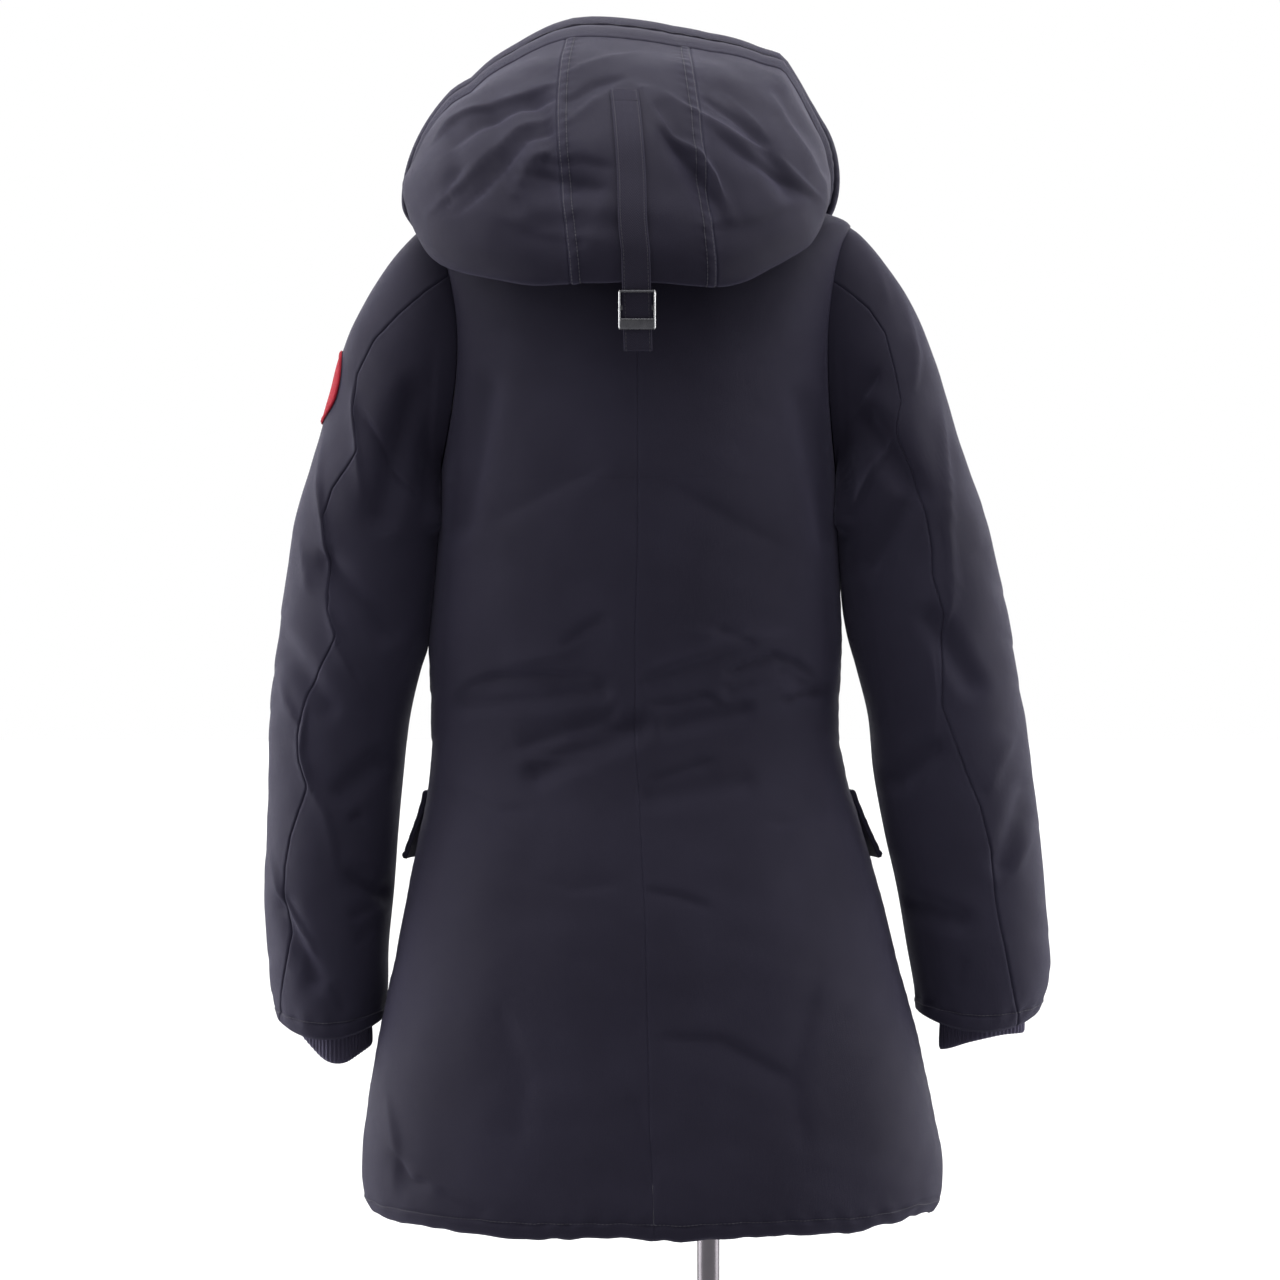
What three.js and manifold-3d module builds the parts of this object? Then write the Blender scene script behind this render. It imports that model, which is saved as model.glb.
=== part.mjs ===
// A hooded women's parka, closed and hanging filled out on a limbless dress form with a pole and a round base.
// Millimetres. +Z is up and the floor is Z 0, the coat's back faces +Y, and the coat's left side is +X.
import * as THREE from "three";
import { mergeVertices } from "three/addons/utils/BufferGeometryUtils.js";
import Module from "manifold-3d";

const wasm = await Module();
wasm.setup();

// Driving sizes
const CLOTH = 5; // quilted shell, down and lining together
const SEAM = 0.34; // space between two pieces that are sewn together
const LIFT = 0.4; // space between a panel and a piece that lies on it
const CENTRE = 10; // moves the whole object so that its middle stands on the origin
const FORM_FOOT = 690; // underside of the form
const POLE = { x: -53.7, r: 9.5, foot: 20.4, top: 679.6 }; // the pole stands to one side of the form's middle
const BORE = 9.9; // sockets that the pole stands in

// Rows of numbers as objects with the named columns.
const table = (names, rows) => rows.map((row) => {
  return Object.fromEntries(names.split(" ").map((name, i) => [name, row[i]]));
});

// The body of the coat as rings from the hem up to the neck seam.
// mid and half place the ring in X; back, side and front are Y; zb, zs and zf are Z at the back, sides and front.
// box squares the ring off, ease is the room between the coat and the form, cuts is the strips up to the next ring.
const BODY = table("mid half back side front zb zs zf box ease cuts", [
  [-7, 236, 127, 2, -124, 572, 577, 574, 0.05, 60, 1],
  [-7, 243.5, 132, 2, -128, 590, 593, 591, 0.05, 60, 1],
  [-6, 244.5, 133, 2, -129, 622, 622, 622, 0.05, 60, 1],
  [-4, 239, 132, 2, -128, 662, 662, 662, 0.05, 55, 1],
  [-3, 231, 130, 2, -126, 704, 704, 704, 0.05, 48, 1],
  [-2, 221, 128, 2, -124, 748, 748, 748, 0.05, 40, 1],
  [-1, 211, 126, 1, -122, 790, 790, 790, 0.05, 32, 1],
  [0, 202, 122, 1, -119, 830, 830, 830, 0.045, 26, 1],
  [2, 192.5, 116, 0, -115, 870, 870, 870, 0.045, 22, 1],
  [4, 182.5, 108, 0, -109, 910, 910, 910, 0.04, 20, 2],
  [6, 175, 101, -1, -105, 944, 944, 944, 0.04, 18, 2],
  [8, 172.5, 98, -2, -104, 980, 980, 980, 0.04, 16, 3],
  [8, 174, 101, -2, -108, 1018, 1018, 1018, 0.04, 14, 1],
  [8, 174.5, 108, -2, -116, 1058, 1058, 1058, 0.04, 11, 1],
  [7, 172, 115, -2, -127, 1100, 1100, 1100, 0.04, 8, 1],
  [6, 169.5, 120, -2, -136, 1144, 1144, 1144, 0.04, 6, 1],
  [6, 168, 122, -2, -139, 1185, 1185, 1182, 0.04, 5, 1],
  [6, 167.5, 121, -2, -139, 1214, 1228, 1206, 0.03, 5, 1],
  [6, 168, 118, -2, -136, 1242, 1273, 1229, 0.02, 5, 1],
  [6, 170, 114, -2, -132, 1270, 1317, 1251, 0.01, 5, 1],
  [6, 174, 109, -2, -127, 1297, 1355, 1270, 0, 4.5, 1],
  [6, 178, 104, -2, -121, 1321, 1383, 1287, -0.02, 4, 1],
  [6, 180, 98, -2, -115, 1343, 1403, 1301, -0.04, 3.5, 1],
  [6, 158, 92, -2, -108, 1358, 1413, 1313, -0.04, 1.6, 1],
  [6, 130, 84, -3, -99, 1372, 1423, 1325, -0.03, 0.6, 1],
  [6, 100, 73, -4, -88, 1386, 1432, 1336, -0.02, 0.4, 1],
  [6, 72, 61, -5, -76, 1399, 1440, 1347, 0, 0.6, 1],
]);
const UNDERARM = 16; // ring at the bottom of the armhole
const SHOULDER = 22; // ring at the shoulder point
const NECK = BODY.length - 1;
const ARMHOLE_BACK = 29; // how far the armhole reaches round the back and the front, in degrees
const ARMHOLE_FRONT = 36;
const ARM_ANGLES = [0, 25, 50, 70, 90, 110, 130, 155, 180]; // places round the armhole from its top
const PANEL_STRIPS = 8; // strips across a back or front panel

// The sleeves below the armhole: outer and inner X from the middle, Y of the middle, half depth,
// and where the back and front seams run, in degrees from the outside of the arm.
const SLEEVE = {
  left: [
    { z: 1150, out: 295.5, in: 168, y: 6, deep: 67, seamBack: 62, seamFront: -118 },
    { z: 1104, out: 303, in: 172, y: 4, deep: 66, seamBack: 57, seamFront: -120 },
    { z: 1062, out: 308.5, in: 178, y: 2, deep: 65, seamBack: 60, seamFront: -122 },
    { z: 1030, out: 312.5, in: 189, y: 0, deep: 64, seamBack: 66, seamFront: -124 },
    { z: 990, out: 317.5, in: 198.5, y: -4, deep: 63, seamBack: 60, seamFront: -125 },
    { z: 945, out: 319, in: 204, y: -8, deep: 62, seamBack: 52, seamFront: -126 },
    { z: 894, out: 320.5, in: 209, y: -12, deep: 62, seamBack: 53, seamFront: -127 },
    { z: 844, out: 323, in: 213, y: -17, deep: 61, seamBack: 47, seamFront: -128 },
    { z: 796, out: 321, in: 218, y: -22, deep: 61, seamBack: 50, seamFront: -129 },
    { z: 760, out: 319, in: 219, y: -26, deep: 60, seamBack: 44, seamFront: -130 },
    { z: 732, out: 312, in: 222, y: -28, deep: 56, seamBack: 42, seamFront: -130 },
  ],
  right: [
    { z: 1150, out: 289, in: 158, y: 6, deep: 66, seamBack: 84, seamFront: -112 },
    { z: 1104, out: 301, in: 163, y: 4, deep: 64, seamBack: 80, seamFront: -112 },
    { z: 1062, out: 309, in: 170, y: 2, deep: 62, seamBack: 78, seamFront: -112 },
    { z: 1030, out: 315, in: 179, y: 0, deep: 61, seamBack: 82, seamFront: -112 },
    { z: 990, out: 321, in: 189, y: -4, deep: 60, seamBack: 78, seamFront: -112 },
    { z: 945, out: 328, in: 193.5, y: -8, deep: 59, seamBack: 74, seamFront: -112 },
    { z: 894, out: 335, in: 203, y: -12, deep: 58, seamBack: 68, seamFront: -112 },
    { z: 844, out: 340, in: 214.5, y: -17, deep: 57, seamBack: 66, seamFront: -112 },
    { z: 796, out: 345, in: 223, y: -22, deep: 57, seamBack: 62, seamFront: -112 },
    { z: 764, out: 344, in: 229, y: -26, deep: 56, seamBack: 58, seamFront: -112 },
    { z: 738, out: 335, in: 232, y: -28, deep: 53, seamBack: 56, seamFront: -112 },
  ],
};
const SEAM_AT_ARMHOLE = {
  left: { seamBack: 70, seamFront: -110 },
  right: { seamBack: 90, seamFront: -110 },
};
// Strips from the armhole to the first ring, then between rings
const SLEEVE_STRIPS = [5, 1, 1, 1, 1, 1, 1, 1, 1, 1, 1];
const SLEEVE_END = 11; // the last ring, counted from the armhole
const SLEEVE_HEM_DIP = 12; // the sleeve's edge hangs lower at the back and front of the wrist
const REST_CLEAR = 1.3; // a sleeve that leans on the coat's side stays this far off it

// Rib cuffs: half width and half depth where they show, and how far their lower edge hangs out
const CUFF = {
  left: { x: 264, y: -27, wide: 31, deep: 37, top: 778, foot: 708, wave: 7, turn: -80, room: 1.3 },
  right: { x: 288, y: -28, wide: 36, deep: 30, top: 780, foot: 711, wave: 8, turn: -20, room: 1.9 },
};
const CUFF_WALL = 3;
const CUFF_STRIPS = 18;

// The hood as rings from the neck seam, out over the shoulders to its lowest fold, and up over the crown to the rim.
// Columns as on the body; skew leans the back to one side, sag lets the corners of the lowest fold hang,
// pane and paneHalf place the centre panel.
const HOOD = table("mid half back side front zb zs zf box skew sag pane paneHalf", [
  [6, 72, 61, -5, -76, 1400.4, 1441.6, 1348.4, 0, 0, 0, 4, 42],
  [8, 108, 90, 2, -80, 1386, 1441, 1354, 0, 0, 5, 4, 48],
  [13, 146, 122, 18, -86, 1360, 1437, 1360, 0.02, 0, 30, 3, 54],
  [18, 168, 144, 20, -91, 1340, 1426, 1365, 0.04, 0, 140, 2, 57],
  [21, 176, 158, 22, -96, 1361, 1430, 1369, 0.05, 0, 145, 3, 58],
  [23, 179, 156, 17, -101, 1390, 1435, 1373, 0.05, 0, 120, 6, 58.5],
  [24, 180, 144, 8, -106, 1422, 1441, 1377, 0.05, -2, 85, 11, 59],
  [23, 179, 126, -4, -111, 1460, 1446, 1381, 0.05, -3, 50, 15, 58],
  [22, 177, 94, -20, -115, 1499, 1450, 1385, 0.05, -4, 24, 18, 57],
  [21, 176, 52, -40, -119, 1537, 1452, 1388, 0.06, -5, 8, 20, 54],
  [21, 178, 2, -62, -123, 1567, 1452, 1391, 0.05, -6, 0, 20, 52],
  [21, 185, -36, -78, -135, 1584, 1451, 1396, 0.045, -6, 0, 20, 52],
  [21, 190, -66, -92, -147, 1597, 1449, 1401, 0.04, -6, 0, 20, 52],
]);
const BRIM = 10; // ring where the brim is sewn to the panels
const RIM = HOOD.length - 1;
const HOOD_CUTS = [1, 1, 2, 2, 1, 1, 1, 2, 1, 1];
const BRIM_CUTS = [2, 2];
const HOOD_STRIPS = { side: 11, centre: 4 };
const BRIM_SWELL = 3; // how far each band of the brim stands out
const BRIM_WALL = 6;

// Largest folds. Each is a soft trough from x1,z1 to x2,z2 on the coat as seen from behind, or from the front.
const BACK_FOLDS = [
  { x1: 148, z1: 1002, x2: 36, z2: 1014, wide: 11, deep: 4 },
  { x1: 88, z1: 946, x2: 4, z2: 984, wide: 13, deep: 5 },
  { x1: -20, z1: 984, x2: -80, z2: 998, wide: 10, deep: 4 },
  { x1: -70, z1: 1012, x2: -112, z2: 1026, wide: 8, deep: 3.5 },
  { x1: -112, z1: 1026, x2: -146, z2: 1010, wide: 8, deep: 3 },
  { x1: -4, z1: 926, x2: -80, z2: 938, wide: 12, deep: 2.5 },
  { x1: 128, z1: 1262, x2: 148, z2: 1150, wide: 14, deep: 4 },
  { x1: -128, z1: 1250, x2: -150, z2: 1140, wide: 14, deep: 3 },
];
const FRONT_FOLDS = [
  { x1: 150, z1: 1008, x2: 58, z2: 996, wide: 12, deep: 3.5 },
  { x1: -150, z1: 996, x2: -60, z2: 1004, wide: 12, deep: 3.5 },
  { x1: 140, z1: 950, x2: 66, z2: 968, wide: 12, deep: 3 },
  { x1: -146, z1: 958, x2: -70, z2: 966, wide: 12, deep: 3 },
];
const SLEEVE_FOLDS = [
  { x1: 190, z1: 1256, x2: 216, z2: 1158, wide: 14, deep: 7 },
  { x1: 262, z1: 1118, x2: 214, z2: 1062, wide: 14, deep: 6 },
  { x1: 306, z1: 1058, x2: 262, z2: 1000, wide: 13, deep: 5 },
  { x1: 222, z1: 954, x2: 250, z2: 930, wide: 12, deep: 5 },
  { x1: 240, z1: 856, x2: 218, z2: 842, wide: 12, deep: 6 },
  { x1: 300, z1: 830, x2: 276, z2: 772, wide: 12, deep: 5 },
  { x1: -182, z1: 1236, x2: -214, z2: 1190, wide: 14, deep: 7 },
  { x1: -186, z1: 1120, x2: -222, z2: 1176, wide: 14, deep: 6 },
  { x1: -236, z1: 1072, x2: -270, z2: 1020, wide: 13, deep: 5 },
  { x1: -212, z1: 938, x2: -240, z2: 962, wide: 12, deep: 5 },
  { x1: -226, z1: 832, x2: -262, z2: 822, wide: 12, deep: 5 },
  { x1: -318, z1: 930, x2: -300, z2: 868, wide: 12, deep: 4 },
];
const HOOD_FOLDS = [
  { x1: 128, z1: 1490, x2: 104, z2: 1402, wide: 12, deep: 6 },
  { x1: 92, z1: 1496, x2: 58, z2: 1420, wide: 11, deep: 6 },
  { x1: 158, z1: 1480, x2: 150, z2: 1420, wide: 10, deep: 4 },
  { x1: -14, z1: 1486, x2: -52, z2: 1400, wide: 11, deep: 6 },
  { x1: -66, z1: 1506, x2: -118, z2: 1420, wide: 11, deep: 5 },
  { x1: -112, z1: 1510, x2: -150, z2: 1448, wide: 10, deep: 4 },
  { x1: 84, z1: 1388, x2: 6, z2: 1384, wide: 13, deep: 5 },
];

// Front strip, pocket flaps, strap and patch
const FLAP_HALF = 31; // half width of the storm flap
const POCKET = { top: 927, foot: 868, from: 94.5, to: 150, flare: 7, wall: 4.5 };
const STRAP = { half: 11.5, wall: 2.4, top: 8.1, leaves: 4.1, x: [[4.1, 7.5], [5.2, 10.6], [6.4, 14], [8.1, 21.3]] };
const STRAP_TAIL = { z: 1286, slope: 0.2, shift: 2 }; // below the hood's fold the strap hangs free, leaning in
const BUCKLE = {
  top: 1334, foot: 1303, half: 15, post: 2.4, front: 2.2, behind: 2.2, gap: 0.4, lowBar: 9, midBar: 4,
};
const PATCH = { z: 1268, turn: 12, r: 32, wall: 1.6 };

const DEG = Math.PI / 180;

// The value of a named column at a place between rows: a smooth curve through the rows.
function column(rows, key, at) {
  const last = rows.length - 1;
  const i = Math.min(Math.max(Math.floor(at), 0), last - 1);
  const f = at - i;
  const [a, b, c, d] = [i - 1, i, i + 1, i + 2].map((k) => rows[Math.min(Math.max(k, 0), last)][key]);
  const bend = 2 * a - 5 * b + 4 * c - d;
  const turn = 3 * b - a - 3 * c + d;
  return b + 0.5 * f * (c - a + f * (bend + f * turn));
}

// A point on a ring: sines and cosines through its back, side and front points, squared off by box.
function ringPoint(rows, deg, at) {
  const get = (key) => column(rows, key, at);
  const swell = 1 + get("box") * Math.sin(2 * deg * DEG) ** 2;
  const c = Math.cos(deg * DEG) * swell;
  const s = Math.sin(deg * DEG) * swell;
  const sweep = (back, side, front) => side + ((back - front) / 2) * c + ((back + front) / 2 - side) * c * c;
  return new THREE.Vector3(
    get("mid") + get("half") * s,
    sweep(get("back"), get("side"), get("front")),
    sweep(get("zb"), get("zs"), get("zf")),
  );
}

// How far the folds press the cloth in at a place seen from behind or in front.
function foldDepth(folds, x, z) {
  let sum = 0;
  for (const f of folds) {
    const [dx, dz] = [f.x2 - f.x1, f.z2 - f.z1];
    const t = Math.min(Math.max(((x - f.x1) * dx + (z - f.z1) * dz) / (dx * dx + dz * dz), 0), 1);
    const q = ((x - f.x1 - t * dx) ** 2 + (z - f.z1 - t * dz) ** 2) / f.wide ** 2;
    sum += f.deep * (1 - 0.7 * q) * Math.exp(-q);
  }
  return sum;
}

// A surface is a function of two parameters; its normal comes from two small steps, and points out of the cloth.
const STEP = 1e-3;
function normalOf(surface, u, v, flip = 1) {
  const du = surface(u + STEP, v).sub(surface(u - STEP, v));
  const dv = surface(u, v + STEP).sub(surface(u, v - STEP));
  return dv.cross(du).multiplyScalar(flip).normalize();
}

// Moves a surface in by its folds.
function folded(surface, depthAt, flip = 1) {
  return (u, v) => {
    const p = surface(u, v);
    const depth = depthAt(p, u, v);
    return depth === 0 ? p : p.addScaledVector(normalOf(surface, u, v, flip), -depth);
  };
}

const smoothStep = (x) => {
  const t = Math.min(Math.max(x, 0), 1);
  return t * t * (3 - 2 * t);
};

const bodyBase = (deg, at) => ringPoint(BODY, deg, at);
const body = folded(bodyBase, (p, deg) => {
  const toBack = Math.cos(deg * DEG);
  const folds = toBack > 0 ? BACK_FOLDS : FRONT_FOLDS;
  return foldDepth(folds, p.x, p.z) * smoothStep(Math.abs(toBack) * 3);
});
const hoodBase = (deg, at) => {
  const p = ringPoint(HOOD, deg, at);
  const c = Math.cos(deg * DEG);
  const behind = (c - 0.12) / 0.88;
  const toBack = (behind + Math.hypot(behind, 0.1)) / 2;
  p.x += column(HOOD, "skew", at) * c;
  p.z -= column(HOOD, "sag", at) * toBack * (1 - toBack);
  return p;
};
const hood = folded(hoodBase, (p, deg, at) => {
  const along = smoothStep((at - 3.6) / 1.2) * smoothStep((9.9 - at) / 0.8);
  const onTop = smoothStep(Math.cos(deg * DEG) * 2.5) * along;
  return onTop === 0 ? 0 : onTop * foldDepth(HOOD_FOLDS, p.x, p.z);
});

// The armhole's edge, at an angle counted from the shoulder point: backwards positive, underarm 180.
// grow makes it larger, in rings and in degrees.
function armholeAt(deg, grow = 0) {
  const middle = (UNDERARM + SHOULDER) / 2;
  const reach = (SHOULDER - UNDERARM) / 2 + grow * 0.012;
  const s = Math.sin(deg * DEG);
  const round = (s > 0 ? ARMHOLE_BACK : ARMHOLE_FRONT) + grow * 0.15;
  return { at: middle + reach * Math.cos(deg * DEG), turn: 90 - round * s };
}

// The largest turn of a back panel, or the smallest of a front panel, at a ring: the side seam or the armhole.
function panelEdge(at, toBack) {
  const middle = (UNDERARM + SHOULDER) / 2;
  const reach = (SHOULDER - UNDERARM) / 2 + 0.012;
  const c = (at - middle) / reach;
  const s = Math.abs(c) < 1 ? Math.sqrt(1 - c * c) : 0;
  const seam = (SEAM / 2 / 130) / DEG;
  return toBack ? 90 - seam - (ARMHOLE_BACK + 0.15) * s : 90 + seam + (ARMHOLE_FRONT + 0.15) * s;
}

// X of the coat's side at a place below the armhole.
function coatSide(side, y, z) {
  let at = 0;
  while (at < UNDERARM && column(BODY, "zs", at + 1) < z) at += 1;
  const low = column(BODY, "zs", at);
  at += Math.min(Math.max((z - low) / (column(BODY, "zs", at + 1) - low), 0), 1);
  const get = (key) => column(BODY, key, at);
  const depth = y > get("side") ? get("back") - get("side") : get("side") - get("front");
  const c = Math.min(Math.abs(y - get("side")) / depth, 1);
  return side * get("mid") + get("half") * Math.sqrt(1 - c * c) * (1 + 2.2 * get("box") * c * c);
}

// A sleeve: from the armhole a smooth curve out and down to the first ring, then ring to ring.
function sleeveRing(name, deg, at) {
  const rows = SLEEVE[name];
  const side = name === "left" ? 1 : -1;
  const get = (key) => column(rows, key, at);
  const half = (get("out") - get("in")) / 2;
  const z = get("z");
  const dip = SLEEVE_HEM_DIP * smoothStep(at - (rows.length - 2)) * Math.sin(deg * DEG) ** 2;
  return new THREE.Vector3(
    side * ((get("out") + get("in")) / 2 + half * Math.cos(deg * DEG)),
    get("y") + get("deep") * Math.sin(deg * DEG),
    z - dip,
  );
}
function sleeveBase(name) {
  const side = name === "left" ? 1 : -1;
  return (deg, at) => {
    let p;
    if (at >= 1) p = sleeveRing(name, deg, at - 1);
    else {
      const edge = armholeAt(deg);
      const start = bodyBase(side * edge.turn, edge.at);
      const end = sleeveRing(name, deg, 0);
      const along = sleeveRing(name, deg, 0.5).sub(end).normalize();
      const [c, s] = [Math.cos(deg * DEG), Math.sin(deg * DEG)];
      const out = new THREE.Vector3(side * 0.9, 0.32 * s, -0.4 - 0.36 * c).normalize();
      const span = end.distanceTo(start);
      const f = at;
      p = start.clone().multiplyScalar(1 - 3 * f * f + 2 * f ** 3)
        .addScaledVector(end, 3 * f * f - 2 * f ** 3)
        .addScaledVector(out, span * (0.95 - 0.1 * c) * (f - 2 * f * f + f ** 3))
        .addScaledVector(along, span * 1.05 * (f ** 3 - f * f));
    }
    const clear = coatSide(side, p.y, p.z) + REST_CLEAR;
    const near = smoothStep((1192 - p.z) / 14);
    const x = side * p.x;
    const kept = (x + clear + Math.sqrt((x - clear) ** 2 + 9)) / 2;
    p.x = side * (x + near * (kept - x));
    return p;
  };
}
function sleeveSurface(name) {
  const side = name === "left" ? 1 : -1;
  return folded(
    sleeveBase(name),
    (p, deg, at) => {
      const along = smoothStep(at * 2.5) * smoothStep((SLEEVE_END - at) / 0.8);
      const behind = smoothStep(Math.sin(deg * DEG) * 2.2) * along;
      const before = smoothStep(-Math.sin(deg * DEG) * 2.2) * along;
      const here = behind === 0 ? 0 : behind * foldDepth(SLEEVE_FOLDS, p.x, p.z);
      return here + (before === 0 ? 0 : 0.8 * before * foldDepth(SLEEVE_FOLDS, -p.x, p.z - 22));
    },
    side,
  );
}

const range = (n, from, to) => Array.from({ length: n + 1 }, (_, i) => from + ((to - from) * i) / n);

// Every ring between first and last, with each ring's own number of strips above it.
function levels(first, last, cutsOf) {
  const out = [first];
  for (let i = first; i < last; i += 1) out.push(...range(cutsOf(i), i, Math.min(i + 1, last)).slice(1));
  return out;
}

// A closed wall from a grid of outer points and the same grid of inner points, a row for each place along.
// crossed(j) says which faces of the last edge are split the other way, to match the piece sewn to it.
function wallGeometry(outer, inner, wrap, flip, crossed = () => false) {
  const [n, m] = [outer.length, outer[0].length];
  const points = [...outer.flat(), ...inner.flat()];
  const faces = [];
  const at = (layer, j, i) => layer * n * m + j * m + (i % m);
  const quad = (a, b, c, d) => faces.push(...(flip ? [a, c, b, a, d, c] : [a, b, c, a, c, d]));
  const across = wrap ? m : m - 1;
  for (let j = 0; j < n - 1; j += 1) {
    for (let i = 0; i < across; i += 1) {
      quad(at(0, j, i), at(0, j + 1, i), at(0, j + 1, i + 1), at(0, j, i + 1));
      quad(at(1, j, i), at(1, j, i + 1), at(1, j + 1, i + 1), at(1, j + 1, i));
    }
  }
  for (let i = 0; i < across; i += 1) {
    quad(at(0, 0, i), at(0, 0, i + 1), at(1, 0, i + 1), at(1, 0, i));
    quad(at(0, n - 1, i), at(1, n - 1, i), at(1, n - 1, i + 1), at(0, n - 1, i + 1));
  }
  for (let j = 0; j < n - 1 && !wrap; j += 1) {
    quad(at(0, j, 0), at(1, j, 0), at(1, j + 1, 0), at(0, j + 1, 0));
    const edge = [at(0, j, m - 1), at(0, j + 1, m - 1), at(1, j + 1, m - 1), at(1, j, m - 1)];
    quad(...(crossed(j) ? [...edge.slice(1), edge[0]] : edge));
  }
  return new THREE.BufferGeometry()
    .setAttribute("position", new THREE.Float32BufferAttribute(points.flatMap((p) => [p.x, p.y, p.z]), 3))
    .setIndex(faces);
}

// A wall on a surface: us(v) gives the places across, and outer and inner are distances out from the surface.
// turned says that us or the surface itself runs the other way round.
function wall(surface, us, vs, options = {}) {
  const { outer = () => 0, inner = () => -CLOTH, facing, wrap = false, turned = false, crossed } = options;
  const out = facing || ((u, v) => normalOf(surface, u, v));
  const grid = (away) => vs.map((v) => us(v).map((u) => surface(u, v).addScaledVector(out(u, v), away(v, u))));
  return wallGeometry(grid(outer), grid(inner), wrap, turned, crossed);
}

const shell = new THREE.MeshStandardMaterial({ color: 0x25252f, roughness: 0.82, metalness: 0 });
const rib = new THREE.MeshStandardMaterial({ color: 0x16161f, roughness: 0.95, metalness: 0 });
const webbing = new THREE.MeshStandardMaterial({ color: 0x1c1c25, roughness: 0.8, metalness: 0 });
const metal = new THREE.MeshStandardMaterial({ color: 0x5c5c60, roughness: 0.32, metalness: 1 });
const patchRed = new THREE.MeshStandardMaterial({ color: 0xb02a35, roughness: 0.75, metalness: 0 });
const jersey = new THREE.MeshStandardMaterial({ color: 0xcfc8ba, roughness: 0.9, metalness: 0 });
const steel = new THREE.MeshStandardMaterial({ color: 0xb8b8ba, roughness: 0.25, metalness: 1 });

const coat = new THREE.Group();
const stand = new THREE.Group();
function piece(group, name, geometry, material) {
  const mesh = new THREE.Mesh(geometry, material);
  mesh.name = name;
  group.add(mesh);
  return mesh;
}

// Half the seam's gap as a turn, at a ring of that size.
const seamTurn = (radius) => SEAM / 2 / radius / DEG;

// Places along a panel from the hem to the neck: between the rings, and round the armhole as the sleeve has them.
const BODY_LEVELS = [
  ...levels(0, UNDERARM - 1, (i) => BODY[i].cuts),
  ...ARM_ANGLES.map((angle) => armholeAt(angle, 1).at).reverse(),
  ...range(NECK - SHOULDER - 1, SHOULDER + 1, NECK),
];

// Back and front panels, each from the middle to the side seam and armhole.
function bodyPanels() {
  const middle = (v) => seamTurn(column(BODY, "half", v));
  const crossed = (j) => BODY_LEVELS[j] > UNDERARM - 0.5 && BODY_LEVELS[j] < SHOULDER;
  for (const [name, side] of [["left", 1], ["right", -1]]) {
    const backUs = (v) => range(PANEL_STRIPS, side * middle(v), side * panelEdge(v, true));
    const frontUs = (v) => range(PANEL_STRIPS, side * panelEdge(v, false), side * (180 - middle(v)));
    const turned = side < 0;
    piece(coat, "back_" + name, wall(body, backUs, BODY_LEVELS, { turned, crossed }), shell);
    piece(coat, "front_" + name, wall(body, frontUs, BODY_LEVELS, { turned }), shell);
  }
}

// Upper and under sleeve, seamed behind and in front of the arm.
function sleeves() {
  const gap = seamTurn(58);
  const vs = levels(0, SLEEVE_END, (i) => SLEEVE_STRIPS[i]);
  for (const [name, side] of [["left", 1], ["right", -1]]) {
    const surface = sleeveSurface(name);
    const seam = (key, v) => {
      const start = SEAM_AT_ARMHOLE[name][key];
      return start + (column(SLEEVE[name], key, Math.max(v - 1, 0)) - start) * Math.min(v, 1);
    };
    // At the shoulder point the wall stands as the body's does, and under the arm as the sleeve's own.
    const facing = (u, v) => {
      const edge = armholeAt(u);
      const own = Math.max((1 - Math.cos(u * DEG)) / 2, smoothStep(v / 0.3));
      const coatOut = normalOf(bodyBase, side * edge.turn, edge.at);
      return coatOut.multiplyScalar(1 - own).addScaledVector(normalOf(surface, u, v, side), own).normalize();
    };
    // The places round the sleeve are those round the armhole, spread evenly between the seams further down.
    const spread = (from, to, v) => {
      const lap = from === "seamBack" ? 360 : 0;
      const [a, b] = [SEAM_AT_ARMHOLE[name][from], SEAM_AT_ARMHOLE[name][to] + lap];
      const [low, high] = [seam(from, v) + gap, seam(to, v) + lap - gap];
      const round = ARM_ANGLES.flatMap((angle) => [-angle, angle, 360 - angle]);
      const inside = [...new Set(round)].filter((angle) => angle >= a && angle <= b).sort((x, y) => x - y);
      return inside.map((angle) => low + ((angle - a) / (b - a)) * (high - low));
    };
    const upper = (v) => spread("seamFront", "seamBack", v);
    const under = (v) => spread("seamBack", "seamFront", v);
    const options = { facing, turned: side < 0 };
    piece(coat, "upper_sleeve_" + name, wall(surface, upper, vs, options), shell);
    piece(coat, "under_sleeve_" + name, wall(surface, under, vs, options), shell);
  }
}

// The round patch on the left sleeve: rings about a point on the outside of the arm, moved out from the sleeve.
function patch() {
  const surface = sleeveSurface("left");
  let middle = 0.2;
  while (surface(PATCH.turn, middle).z > PATCH.z) middle += 0.002;
  const here = surface(PATCH.turn, middle);
  const perTurn = surface(PATCH.turn + 1, middle).distanceTo(here);
  const perRow = surface(PATCH.turn, middle + 0.01).distanceTo(here) / 0.01;
  const point = (angle, r, away) => {
    const u = PATCH.turn + (r * Math.cos(angle * DEG)) / perTurn;
    const v = middle + (r * Math.sin(angle * DEG)) / perRow;
    return surface(u, v).addScaledVector(normalOf(surface, u, v), away);
  };
  const around = range(17, 0, 340);
  const rings = [0.15, 0.45, 0.75, 1];
  const layer = (away) => rings.map((f) => around.map((angle) => point(angle, PATCH.r * f, away)));
  piece(coat, "sleeve_patch", plateGeometry(layer(LIFT + PATCH.wall), layer(LIFT)), patchRed);
}

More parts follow.
